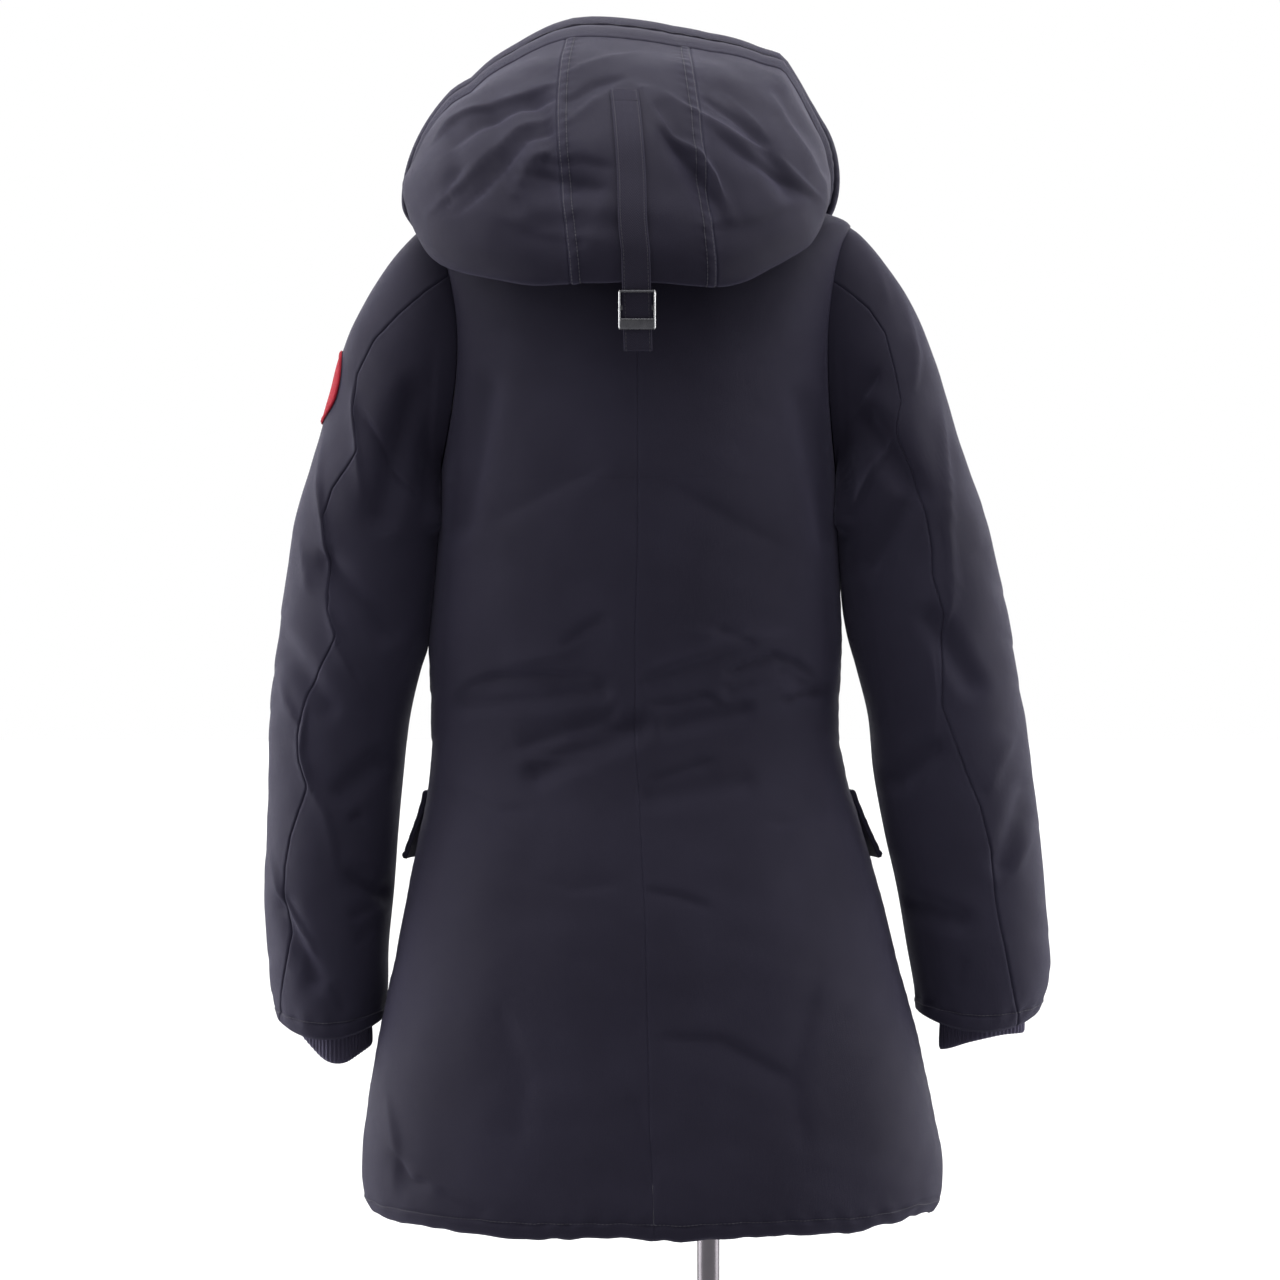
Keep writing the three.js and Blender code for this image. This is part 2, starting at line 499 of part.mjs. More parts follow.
// A round plate from rings of points on its top and the same rings on its underside.
function plateGeometry(top, under) {
  const count = top[0].length;
  const rings = [...top, ...[...under].reverse()];
  const points = rings.flat();
  const faces = [];
  const at = (j, i) => j * count + (i % count);
  for (let j = 0; j < rings.length - 1; j += 1) {
    for (let i = 0; i < count; i += 1) {
      faces.push(at(j, i), at(j + 1, i + 1), at(j + 1, i), at(j, i), at(j, i + 1), at(j + 1, i + 1));
    }
  }
  const last = rings.length - 1;
  for (let i = 1; i < count - 1; i += 1) {
    faces.push(at(0, 0), at(0, i + 1), at(0, i));
    faces.push(at(last, 0), at(last, i), at(last, i + 1));
  }
  return new THREE.BufferGeometry()
    .setAttribute("position", new THREE.Float32BufferAttribute(points.flatMap((p) => [p.x, p.y, p.z]), 3))
    .setIndex(faces);
}

// Rib cuffs: tubes that start on the inside of the sleeve and hang out of its edge.
function cuffs() {
  for (const [name, side] of [["left", 1], ["right", -1]]) {
    const cuff = CUFF[name];
    const sleeve = sleeveSurface(name);
    let row = 1;
    while (column(SLEEVE[name], "z", row - 1) > cuff.top) row += 0.01;
    const surface = (deg, f) => {
      const [c, s] = [Math.cos(deg * DEG), Math.sin(deg * DEG)];
      const high = sleeve(deg, row).addScaledVector(normalOf(sleeve, deg, row, side), -(CLOTH + cuff.room));
      const wave = Math.cos((deg - cuff.turn) * DEG) + 0.4 * Math.cos(2 * (deg - cuff.turn) * DEG);
      const foot = cuff.foot + cuff.wave * wave;
      const low = new THREE.Vector3(side * (cuff.x + cuff.wide * c), cuff.y + cuff.deep * s, foot);
      const share = smoothStep(f * 1.7);
      const [x, y] = [high.x + (low.x - high.x) * share, high.y + (low.y - high.y) * share];
      return new THREE.Vector3(x, y, high.z + (low.z - high.z) * f);
    };
    const facing = (u, v) => normalOf(surface, u, v, side);
    const options = { inner: () => -CUFF_WALL, facing, wrap: true, turned: side < 0 };
    const around = range(CUFF_STRIPS - 1, 0, 360 - 360 / CUFF_STRIPS);
    piece(coat, "cuff_" + name, wall(surface, () => around, range(6, 0, 1), options), rib);
  }
}

// The turn at which a ring of the hood reaches a distance across.
const hoodTurn = (x, at) => {
  const reach = Math.min(Math.max((x - column(HOOD, "mid", at)) / column(HOOD, "half", at), -0.98), 0.98);
  return Math.asin(reach) / DEG;
};

// Places along a hood panel, from the neck seam to the brim
const HOOD_LEVELS = levels(0, BRIM, (i) => HOOD_CUTS[i]).map((v) => (v === BRIM ? v - 0.014 : v));

// Hood: a centre panel, two side panels that reach round to the front, and the brim.
function hoodPieces() {
  const gap = (v) => 1.5 * seamTurn(column(HOOD, "half", v));
  const edge = (v, side) => hoodTurn(column(HOOD, "pane", v) + side * column(HOOD, "paneHalf", v), v);
  const centre = (v) => range(HOOD_STRIPS.centre, edge(v, -1) + gap(v), edge(v, 1) - gap(v));
  const left = (v) => range(HOOD_STRIPS.side, edge(v, 1) + gap(v), 180 - gap(v));
  const right = (v) => range(HOOD_STRIPS.side, gap(v) - 180, edge(v, -1) - gap(v));
  piece(coat, "hood_centre", wall(hood, centre, HOOD_LEVELS), shell);
  piece(coat, "hood_left", wall(hood, left, HOOD_LEVELS), shell);
  piece(coat, "hood_right", wall(hood, right, HOOD_LEVELS), shell);
  const brimRows = [BRIM + 0.014, ...levels(BRIM, RIM, (i) => BRIM_CUTS[i - BRIM]).slice(1)];
  const outer = (v) => BRIM_SWELL * Math.abs(Math.sin((v - BRIM) * Math.PI));
  const across = [...right(BRIM), ...centre(BRIM).slice(1, -1), ...left(BRIM)];
  piece(coat, "hood_brim", wall(hood, () => across, brimRows, { outer, inner: () => -BRIM_WALL }), shell);
}

// The storm flap over the front opening, from the hem up to the brim.
function stormFlap() {
  const xs = range(3, -FLAP_HALF, FLAP_HALF);
  const line = (surface, rows, at) => (away) => xs.map((x) => {
    const turn = 180 - Math.asin(x / column(rows, "half", at)) / DEG;
    return surface(turn, at).addScaledVector(normalOf(surface, turn, at), away);
  });
  const onCoat = BODY_LEVELS.filter((at) => at < NECK).map((at) => line(body, BODY, at));
  const onHood = HOOD_LEVELS.filter((at) => at >= 2).map((at) => line(hood, HOOD, at));
  const grid = (away) => [...onCoat, ...onHood].map((row) => row(away));
  piece(coat, "storm_flap", wallGeometry(grid(LIFT + CLOTH), grid(LIFT), false, true), shell);
}

// The ring of the coat at a height on its side.
function bodyRow(z) {
  let at = 0;
  while (column(BODY, "zs", at) < z) at += 0.01;
  return at;
}

// Pocket flaps on the fronts: their lower edges stand away from the coat.
function pocketFlaps() {
  const [low, high] = [bodyRow(POCKET.foot), bodyRow(POCKET.top)];
  const stand = (v) => 1.6 * LIFT + POCKET.flare * ((high - v) / (high - low)) ** 1.5;
  for (const [name, side] of [["left", 1], ["right", -1]]) {
    const us = () => range(6, side * POCKET.from, side * POCKET.to);
    const options = { outer: (v) => stand(v) + POCKET.wall, inner: stand, turned: side < 0 };
    piece(coat, "pocket_flap_" + name, wall(body, us, range(3, low, high), options), shell);
  }
}

// The strap's middle: on the hood it lies on the centre panel, and below the lowest fold it hangs free.
function strapX(at) {
  const i = STRAP.x.findLastIndex(([row]) => row <= at);
  const [[a, xa], [b, xb]] = [STRAP.x[Math.min(i, 2)], STRAP.x[Math.min(i, 2) + 1]];
  return xa + ((xb - xa) * (at - a)) / (b - a);
}
function strapOnHood(at, across, away) {
  const turn = hoodTurn(strapX(at) + across, at);
  return hoodBase(turn, at).addScaledVector(normalOf(hoodBase, turn, at), LIFT + away);
}
function strapBelow(z, across, away) {
  const start = strapOnHood(STRAP.leaves, 0, 0);
  const fall = (start.z - z) / (start.z - STRAP_TAIL.z);
  const out = new THREE.Vector3(0, 1, -STRAP_TAIL.slope).normalize();
  const [x, y] = [start.x - STRAP_TAIL.shift * fall + across, start.y - STRAP_TAIL.slope * (start.z - z)];
  return new THREE.Vector3(x, y, z).addScaledVector(out, away);
}
function strap() {
  const xs = range(2, -STRAP.half, STRAP.half);
  const between = HOOD_LEVELS.filter((at) => at > STRAP.leaves && at < STRAP.top).reverse();
  const onHood = [STRAP.top, ...between, STRAP.leaves];
  const below = [BUCKLE.top + 6, BUCKLE.top, BUCKLE.foot, STRAP_TAIL.z];
  const grid = (away) => [
    ...onHood.map((at) => xs.map((x) => strapOnHood(at, x, away))),
    ...below.map((z) => xs.map((x) => strapBelow(z, x, away))),
  ];
  piece(coat, "hood_strap", wallGeometry(grid(STRAP.wall), grid(0), false, true), webbing);
}

// Slide buckle: two posts beside the strap, a thin and a broad bar in front of it and one bar behind it.
function buckle() {
  const { top, foot, half, post, front, behind, gap, lowBar, midBar } = BUCKLE;
  const long = (top - foot) * Math.hypot(1, STRAP_TAIL.slope);
  const bar = (wide, high, deep, x, z, y) => new THREE.BoxGeometry(wide, deep, high).translate(x, y, z);
  const face = STRAP.wall + gap;
  const depth = behind + gap + face + front;
  const posts = [-1, 1].map((s) => bar(post, long, depth, s * (half - post / 2), 0, depth / 2 - behind - gap));
  const bars = [
    bar(2 * half, 2.4, front, 0, long / 2 - 1.2, face + front / 2),
    bar(2 * half, lowBar, front, 0, lowBar / 2 - long / 2, face + front / 2),
    bar(2 * half, midBar, behind, 0, 1, -gap - behind / 2),
  ];
  const at = strapBelow((top + foot) / 2, 0, 0);
  const geometry = joined([...posts, ...bars]);
  geometry.rotateX(-Math.atan(STRAP_TAIL.slope)).translate(at.x, at.y, at.z);
  piece(coat, "buckle", geometry, metal);
}

// One closed body from several that overlap.
function joined(geometries) {
  const whole = geometries.map((geometry) => {
    const position = geometry.toNonIndexed().getAttribute("position");
    const merged = mergeVertices(new THREE.BufferGeometry().setAttribute("position", position), 1e-4);
    const vertProperties = merged.attributes.position.array;
    const triVerts = new Uint32Array(merged.index.array);
    return new wasm.Manifold(new wasm.Mesh({ numProp: 3, vertProperties, triVerts }));
  }).reduce((a, b) => a.add(b)).getMesh();
  return new THREE.BufferGeometry()
    .setAttribute("position", new THREE.Float32BufferAttribute(whole.vertProperties, 3))
    .setIndex([...whole.triVerts]);
}

const FORM_STRIPS = 24;
const FORM_ROWS = [6, 8, 9, 10, 11, 12, 13.5, 15, 16, 17.5, 19, 20]; // rings of the coat that it follows

// The form's rings above the coat's neck seam, up to the flat top of its neck
const FORM_NECK = [
  { mid: 6, half: 64, back: 53, side: -6, front: -68, zb: 1408, zs: 1446, zf: 1358, box: 0 },
  { mid: 6, half: 59, back: 48, side: -6, front: -62, zb: 1424, zs: 1451, zf: 1392, box: 0 },
  { mid: 6, half: 57, back: 46, side: -6, front: -60, zb: 1444, zs: 1458, zf: 1428, box: 0 },
  { mid: 6, half: 56, back: 45, side: -6, front: -58, zb: 1466, zs: 1466, zf: 1466, box: 0 },
];

// The form lies close under the coat's shoulders and has more room below them.
function formTorso() {
  const degs = range(FORM_STRIPS - 1, 0, 360 - 360 / FORM_STRIPS);
  const low = bodyRow(FORM_FOOT);
  const place = (v, u) => {
    const away = -(CLOTH + LIFT + column(BODY, "ease", v));
    const p = bodyBase(u, v).addScaledVector(normalOf(bodyBase, u, v), away);
    if (v === low) p.z = FORM_FOOT;
    return p;
  };
  const rows = [low, ...FORM_ROWS, ...range(NECK - SHOULDER + 1, SHOULDER - 1, NECK)];
  const onBody = rows.map((v) => degs.map((u) => place(v, u)));
  const neck = FORM_NECK.map((row, i) => degs.map((u) => ringPoint(FORM_NECK, u, i)));
  const rings = [...onBody, ...neck];
  piece(stand, "form_torso", stackGeometry(rings), jersey);
}

// A closed body from a stack of rings, with a flat fan over its first and its last.
function stackGeometry(rings) {
  const count = rings[0].length;
  const centre = (ring) => ring.reduce((sum, p) => sum.add(p), new THREE.Vector3()).divideScalar(count);
  const points = [...rings.flat(), centre(rings[0]), centre(rings[rings.length - 1])];
  const faces = [];
  const at = (j, i) => j * count + (i % count);
  const [foot, top] = [rings.length * count, rings.length * count + 1];
  for (let i = 0; i < count; i += 1) {
    for (let j = 0; j < rings.length - 1; j += 1) {
      faces.push(at(j, i), at(j + 1, i), at(j + 1, i + 1), at(j, i), at(j + 1, i + 1), at(j, i + 1));
    }
    faces.push(foot, at(0, i), at(0, i + 1));
    faces.push(top, at(rings.length - 1, i + 1), at(rings.length - 1, i));
  }
  return new THREE.BufferGeometry()
    .setAttribute("position", new THREE.Float32BufferAttribute(points.flatMap((p) => [p.x, p.y, p.z]), 3))
    .setIndex(faces);
}

// Turned pieces of the stand: radius and Z from the axis round to the axis again
const CAP = [[0, 1466.4], [50, 1466.4], [52, 1468], [52, 1474], [48, 1478], [0, 1480]];
const SOCKET = [
  [0, 681], [BORE, 680], [BORE, 640], [14, 640], [16, 644], [16, 682], [32, 684], [32, 689.6], [0, 689.6],
];
const BASE = [
  [0, 0], [163, 0], [165, 2], [165, 6], [163, 8], [34, 10],
  [24, 16], [22, 56], [19, 60], [BORE, 60], [BORE, 20], [0, 20],
];

function standPieces() {
  const turned = (name, profile, x, y, material) => {
    const points = profile.map(([r, z]) => new THREE.Vector2(r, z));
    const geometry = new THREE.LatheGeometry(points, name === "base" ? 36 : 20);
    piece(stand, name, geometry.rotateX(Math.PI / 2).translate(x, y, 0), material);
  };
  turned("neck_cap", CAP, 6, -6, steel);
  turned("pole_socket", SOCKET, POLE.x, 0, steel);
  turned("pole", [[0, POLE.foot], [POLE.r, POLE.foot], [POLE.r, POLE.top], [0, POLE.top]], POLE.x, 0, steel);
  turned("base", BASE, POLE.x, 0, steel);
}

bodyPanels();
sleeves();
patch();
cuffs();
hoodPieces();
stormFlap();
pocketFlaps();
strap();
buckle();
formTorso();
standPieces();

const parka = new THREE.Group().add(coat, stand);
parka.position.x = CENTRE;
export default parka;
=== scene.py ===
"""The looks of a hooded women's parka on a limbless dress form, in metres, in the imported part's own frame."""
import math

import bpy
import numpy as np
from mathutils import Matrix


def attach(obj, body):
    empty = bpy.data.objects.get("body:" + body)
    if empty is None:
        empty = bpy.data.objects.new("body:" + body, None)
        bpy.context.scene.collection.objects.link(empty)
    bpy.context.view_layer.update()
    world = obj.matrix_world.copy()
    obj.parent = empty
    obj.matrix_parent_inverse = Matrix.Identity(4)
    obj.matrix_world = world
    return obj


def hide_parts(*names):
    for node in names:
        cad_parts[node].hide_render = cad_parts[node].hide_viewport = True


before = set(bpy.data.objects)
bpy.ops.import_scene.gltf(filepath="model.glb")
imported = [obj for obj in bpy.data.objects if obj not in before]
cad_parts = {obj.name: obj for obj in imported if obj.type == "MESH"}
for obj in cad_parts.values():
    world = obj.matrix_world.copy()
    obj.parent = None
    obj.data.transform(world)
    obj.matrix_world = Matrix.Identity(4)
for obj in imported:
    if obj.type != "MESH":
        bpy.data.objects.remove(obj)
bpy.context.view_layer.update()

# Driving sizes, in millimetres, as on the part
CLOTH = 5
SEAM = 0.02  # between two panels of the coat
LIFT = 0.4
CENTRE = 10
UNDERARM = 16
SHOULDER = 22
NECK = 26
ARMHOLE_BACK = {1: 29, -1: 21}  # how far it curves in behind the arm, in degrees, left and right
ARMHOLE_FRONT = 36
SLEEVE_END = 11
SLEEVE_HEM_DIP = 12
ARM_MIDDLE = (UNDERARM + SHOULDER) / 2  # the ring of the body at the middle of the armhole
ARM_REACH = 3.0012  # half the armhole's height, in rings of the body
REST_CLEAR = 0.45
BRIM = 10
RIM = 12
HOOD_GAP = 0.001  # from the hood's panels to its brim, in rings
TOPSTITCH = 6  # from a seam to its row of stitches
HEM_STITCH = 14  # from the coat's edge to the row that holds its turn-up
NECK_DROP = 1.15  # how far the hood's sewn edge reaches down to the coat's neck
SLEEVE_PAINTED_LIGHT = 0.6  # painted light: the sleeves' cloth is painted a little paler than the body's, for the light that falls on them

# Grids: the columns beside a seam and the rows beside an edge, in millimetres from it, and between them the
# distance of the rows and the number of columns
EDGE_STEPS = np.array([0, 0.6, 1.3, 2.3, 3.6, 4.8, 5.5, 6, 6.6, 7.4, 9, 11.5])
FELL_STEPS = np.array([0, 0.6, 1.1, 1.6, 2.3, 3.6, 5.4, 6.8, 7.4, 8, 8.6, 9.8, 12])  # the hood's felled seams
TAPE_STEPS = np.array([0, 0.4, 0.9, 1.5, 2, 2.6, 3.4])
GROOVE_STEPS = (0, 0.5, 1, 1.7, 2.6, 4, 5)
HEM_STEPS = (0, 0.7, 1.5, 2.6, 4, 6, 9, 11.5, 13, 14, 15, 16.5, 19, 22)
SEAM_STEPS = tuple(EDGE_STEPS)
STITCH_COLUMN = 7
HEM_STITCH_ROW = 9
FELL_ROWS = (3, 9)  # the columns of a felled seam's two rows of stitches
ROW_STEP = dict(back=3.1, front=6.4, sleeve=3.7, hood=3.1, brim=2.6, flap=5, pocket=4, tape=2.4, form=8)
COLUMNS = dict(back=66, front=54, sleeve=40, centre=30, left=84, right=84, brim=150,
               flap=12, pocket=24, tape=11)
PATCH_GRID = 41
CUFF_COLUMNS, CUFF_ROWS = 280, 30
FORM_COLUMNS = 128


def columns(names, rows):
    """A table as a dict from a column's name to its numbers."""
    return dict(zip(names.split(), np.array(rows, float).T))


# The body of the coat as rings from the hem up to the neck seam.
BODY = columns("mid half back side front zb zs zf box ease", [
    (-7, 236, 127, 2, -124, 572, 577, 574, 0.05, 60),
    (-7, 243.5, 132, 2, -128, 590, 593, 591, 0.05, 60),
    (-6, 244.5, 133, 2, -129, 622, 622, 622, 0.05, 60),
    (-4, 239, 132, 2, -128, 662, 662, 662, 0.05, 55),
    (-3, 231, 130, 2, -126, 704, 704, 704, 0.05, 48),
    (-2, 221, 128, 2, -124, 748, 748, 748, 0.05, 40),
    (-1, 211, 126, 1, -122, 790, 790, 790, 0.05, 32),
    (0, 202, 122, 1, -119, 830, 830, 830, 0.045, 26),
    (2, 192.5, 116, 0, -115, 870, 870, 870, 0.045, 22),
    (4, 182.5, 108, 0, -109, 910, 910, 910, 0.04, 20),
    (6, 175, 101, -1, -105, 944, 944, 944, 0.04, 18),
    (8, 172.5, 98, -2, -104, 980, 980, 980, 0.04, 16),
    (8, 174, 101, -2, -108, 1018, 1018, 1018, 0.04, 14),
    (8, 174.5, 108, -2, -116, 1058, 1058, 1058, 0.04, 11),
    (7, 172, 115, -2, -127, 1100, 1100, 1100, 0.04, 8),
    (6, 169.5, 120, -2, -136, 1144, 1144, 1144, 0.04, 6),
    (6, 168, 122, -2, -139, 1185, 1185, 1182, 0.04, 5),
    (6, 167.5, 121, -2, -139, 1214, 1228, 1206, 0.03, 5),
    (6, 168, 118, -2, -136, 1242, 1273, 1229, 0.02, 5),
    (6, 170, 114, -2, -132, 1270, 1317, 1251, 0.01, 5),
    (6, 174, 109, -2, -127, 1297, 1355, 1270, 0, 4.5),
    (6, 178, 104, -2, -121, 1321, 1383, 1287, -0.02, 4),
    (6, 180, 98, -2, -115, 1343, 1403, 1301, -0.04, 3.5),
    (6, 158, 92, -2, -108, 1358, 1413, 1313, -0.04, 1.6),
    (6, 130, 84, -3, -99, 1372, 1423, 1325, -0.03, 0.6),
    (6, 100, 73, -4, -88, 1386, 1432, 1336, -0.02, 0.4),
    (6, 72, 61, -5, -76, 1399, 1440, 1347, 0, 0.6),
])
SLEEVES = {
    "left": columns("z out in y deep seam_front", [
        (1150, 295.5, 168, 6, 67, -118),
        (1104, 303, 172, 4, 66, -120),
        (1062, 308.5, 178, 2, 65, -122),
        (1030, 312.5, 189, 0, 64, -124),
        (990, 317.5, 198.5, -4, 63, -125),
        (945, 319, 204, -8, 62, -126),
        (894, 320.5, 209, -12, 62, -127),
        (844, 323, 213, -17, 61, -128),
        (796, 321, 218, -22, 61, -129),
        (760, 319, 219, -26, 60, -130),
        (732, 312, 222, -28, 56, -130),
    ]),
    "right": columns("z out in y deep seam_front", [
        (1150, 289, 158, 6, 66, -112),
        (1104, 301, 163, 4, 64, -112),
        (1062, 309, 170, 2, 62, -112),
        (1030, 315, 179, 0, 61, -112),
        (990, 321, 189, -4, 60, -112),
        (945, 328, 193.5, -8, 59, -112),
        (894, 335, 203, -12, 58, -112),
        (844, 340, 214.5, -17, 57, -112),
        (796, 345, 223, -22, 57, -112),
        (764, 344, 229, -26, 56, -112),
        (738, 335, 232, -28, 53, -112),
    ]),
}
SHOULDER_DRAWN = {"left": 6.5, "right": 4}  # how far the outside of the arm is drawn in below the shoulder
DRAWN_IN_AT = 1234  # the height where it is drawn in
FRONT_SEAM_START = -110
BACK_SEAMS = {  # height and distance out of the seam behind each arm
    "left": columns("z out", [
        (740, 308), (756, 306), (788, 300), (811, 297), (837, 301), (866, 300), (892, 295), (914, 287),
        (934, 279), (955, 286), (976, 287), (1011, 280), (1036, 266), (1058, 254), (1080, 261),
        (1119, 261), (1158, 265), (1179, 258), (1210, 236), (1226, 238), (1244, 240), (1275, 238),
        (1304, 224), (1326, 202), (1344, 182), (1357, 164),
    ]),
    "right": columns("z out", [
        (740, 313), (754, 310), (792, 302), (823, 295), (840, 292), (880, 288), (915, 279), (949, 265),
        (1000, 246), (1017, 246), (1052, 245), (1076, 247), (1107, 237), (1131, 236), (1158, 231),
        (1192, 221), (1220, 208), (1230, 207), (1251, 211), (1275, 207), (1309, 199), (1330, 186),
        (1342, 173), (1354, 158),
    ]),
}
SIDES = (("left", 1), ("right", -1))
CUFFS = {
    "left": dict(x=264, y=-27, wide=31, deep=37, top=778, foot=708.5, slant=(8, 9.5), room=1.3),
    "right": dict(x=288, y=-28, wide=36, deep=30, top=780, foot=716, slant=(7.5, -2.5), room=1.9),
}
CUFF_WALL = 3

# The hood as rings from the neck seam, over the shoulders to its lowest fold, and over the crown to the rim.
HOOD = columns("mid half back side front zb zs zf box skew sag pane pane_half", [
    (6, 72, 61, -5, -76, 1400.4, 1441.6, 1348.4, 0, 0, 0, 4, 42),
    (8, 108, 90, 2, -80, 1386, 1441, 1354, 0, 0, 5, 4, 48),
    (13, 146, 122, 18, -86, 1360, 1437, 1360, 0.02, 0, 30, 3, 54),
    (18, 168, 144, 20, -91, 1340, 1426, 1365, 0.04, 0, 140, 2, 57),
    (21, 176, 158, 22, -96, 1361, 1430, 1369, 0.05, 0, 145, 3, 58),
    (23, 179, 156, 17, -101, 1390, 1435, 1373, 0.05, 0, 120, 6, 58.5),
    (24, 180, 144, 8, -106, 1422, 1441, 1377, 0.05, -2, 85, 11, 59),
    (23, 179, 126, -4, -111, 1460, 1446, 1381, 0.05, -3, 50, 15, 58),
    (22, 177, 94, -20, -115, 1499, 1450, 1385, 0.05, -4, 24, 18, 57),
    (21, 176, 52, -40, -119, 1537, 1452, 1388, 0.06, -5, 8, 20, 54),
    (21, 178, 2, -62, -123, 1567, 1452, 1391, 0.05, -6, 0, 20, 52),
    (21, 185, -36, -78, -135, 1584, 1451, 1396, 0.045, -6, 0, 20, 52),
    (21, 190, -66, -92, -147, 1597, 1449, 1401, 0.04, -6, 0, 20, 52),
])

# Folds as on the part: a line of points, how far it reaches to each side, and its depth.
BACK_FOLDS = [
    ([(148, 1002), (36, 1014)], 11, 4), ([(88, 946), (4, 984)], 13, 5),
    ([(-20, 984), (-80, 998)], 10, 4), ([(-70, 1012), (-112, 1026), (-146, 1010)], 8, 3),
    ([(-4, 926), (-80, 938)], 12, 2.5),
    ([(128, 1262), (148, 1150)], 14, 4), ([(-128, 1250), (-150, 1140)], 14, 3),
]
FRONT_FOLDS = [
    ([(150, 1008), (58, 996)], 12, 3.5), ([(-150, 996), (-60, 1004)], 12, 3.5),
    ([(140, 950), (66, 968)], 12, 3), ([(-146, 958), (-70, 966)], 12, 3),
]
SLEEVE_FOLDS = [
    ([(190, 1256), (216, 1158)], 14, 7), ([(262, 1118), (214, 1062)], 14, 6),
    ([(306, 1058), (262, 1000)], 13, 5), ([(222, 954), (250, 930)], 12, 5),
    ([(240, 856), (218, 842)], 12, 6), ([(300, 830), (276, 772)], 12, 5),
    ([(-182, 1236), (-214, 1190)], 14, 7), ([(-186, 1120), (-222, 1176)], 14, 6),
    ([(-236, 1072), (-270, 1020)], 13, 5), ([(-212, 938), (-240, 962)], 12, 5),
    ([(-226, 832), (-262, 822)], 12, 5), ([(-318, 930), (-300, 868)], 12, 4),
]
HOOD_FOLDS = [
    ([(128, 1490), (104, 1402)], 12, 6), ([(92, 1496), (58, 1420)], 11, 6),
    ([(158, 1480), (150, 1420)], 10, 4), ([(-14, 1486), (-52, 1400)], 11, 6),
    ([(-66, 1506), (-118, 1420)], 11, 5), ([(-112, 1510), (-150, 1448)], 10, 4),
    ([(84, 1388), (6, 1384)], 13, 5),
]

# Creases, finer than the folds. A depth below zero is a ridge.
BACK_CREASES = [
    ([(153, 1011), (141, 1019), (122, 1024), (87, 1026), (44, 1025)], 8, 3.6),
    ([(140, 1006), (112, 1011), (70, 1012)], 9, -1.6),
    ([(22, 1001), (30, 990), (60, 981), (104, 966)], 15, 4.2), ([(0, 985), (30, 982), (62, 974)], 12, 2),
    ([(108, 958), (74, 956), (34, 964)], 10, -2), ([(69, 1048), (50, 1063), (30, 1075)], 14, 2.2),
    ([(2, 1020), (-32, 1032), (-80, 1046)], 9, 2.4), ([(-56, 1065), (-91, 1051)], 12, 2),
    ([(0, 1030), (-40, 1044), (-84, 1060)], 10, -1.4),
    ([(-65, 1026), (-89, 1036), (-105, 1042), (-124, 1036), (-140, 1025)], 7, 4),
    ([(-86, 1020), (-108, 1026), (-126, 1021)], 7, -1.6),
    ([(-110, 1004), (-128, 1009), (-148, 1013)], 5, 3.2),
    ([(-3, 1002), (-26, 1004), (-49, 1010), (-65, 1002)], 8, 2.4),
    ([(-3, 940), (-26, 948), (-57, 958)], 9, 1.8),
    ([(-1, 853), (-26, 849), (-54, 839)], 9, 2),
    ([(20, 858), (60, 852), (86, 860)], 12, 1.2),
    ([(-15, 735), (-61, 733), (-95, 714), (-119, 701)], 12, 2),
    ([(208, 637), (192, 613), (175, 613)], 9, 2.6),
    ([(212, 680), (204, 640), (206, 604)], 8, -1.8),
    ([(169, 610), (148, 599), (124, 592)], 6, 1.4),
    ([(31, 1197), (87, 1170), (127, 1151)], 22, 2.2),
    ([(-20, 1180), (-74, 1150), (-118, 1128)], 24, 1.8),
    ([(48, 1055), (69, 1043), (117, 1035)], 14, -1.4),
    ([(-36, 1062), (-77, 1056), (-125, 1060)], 12, -1.2),
    ([(118, 760), (96, 700), (102, 646)], 22, 1.8),
    ([(-140, 780), (-120, 700), (-132, 640)], 24, 1.8),
    ([(12, 690), (-8, 640), (-2, 604)], 16, 1.2),
    ([(150, 930), (120, 916), (92, 918)], 10, 1.6),
    ([(-150, 916), (-118, 904), (-96, 908)], 10, 1.4),
]
FRONT_CREASES = [
    ([(152, 1022), (120, 1030), (80, 1026)], 7, 2.8), ([(-150, 1018), (-112, 1024), (-70, 1016)], 7, 2.8),
    ([(140, 1048), (104, 1054)], 6, -1.6), ([(-130, 1044), (-96, 1050)], 6, -1.6),
    ([(132, 986), (96, 976), (62, 982)], 9, 2.2), ([(-138, 984), (-92, 974), (-60, 984)], 9, 2.4),
    ([(128, 1150), (96, 1120), (60, 1112)], 20, 2.4), ([(-132, 1156), (-90, 1128), (-58, 1110)], 20, 2.2),
    ([(120, 1250), (92, 1210), (76, 1160)], 16, 2), ([(-122, 1244), (-96, 1196), (-82, 1150)], 16, 2.2),
    ([(112, 760), (96, 690), (104, 620)], 22, 2), ([(-116, 742), (-90, 680), (-98, 610)], 22, 2.2),
    ([(150, 640), (128, 606)], 9, 2), ([(-160, 652), (-142, 610)], 9, 1.8),
]
SIDE_CREASES = [
    ([(60, 1018), (10, 1008), (-50, 1014)], 8, 2.2), ([(52, 978), (0, 968), (-60, 976)], 10, 2.2),
    ([(40, 742), (22, 690), (34, 630)], 16, 1.8), ([(-46, 760), (-30, 700), (-44, 640)], 16, 2),
]
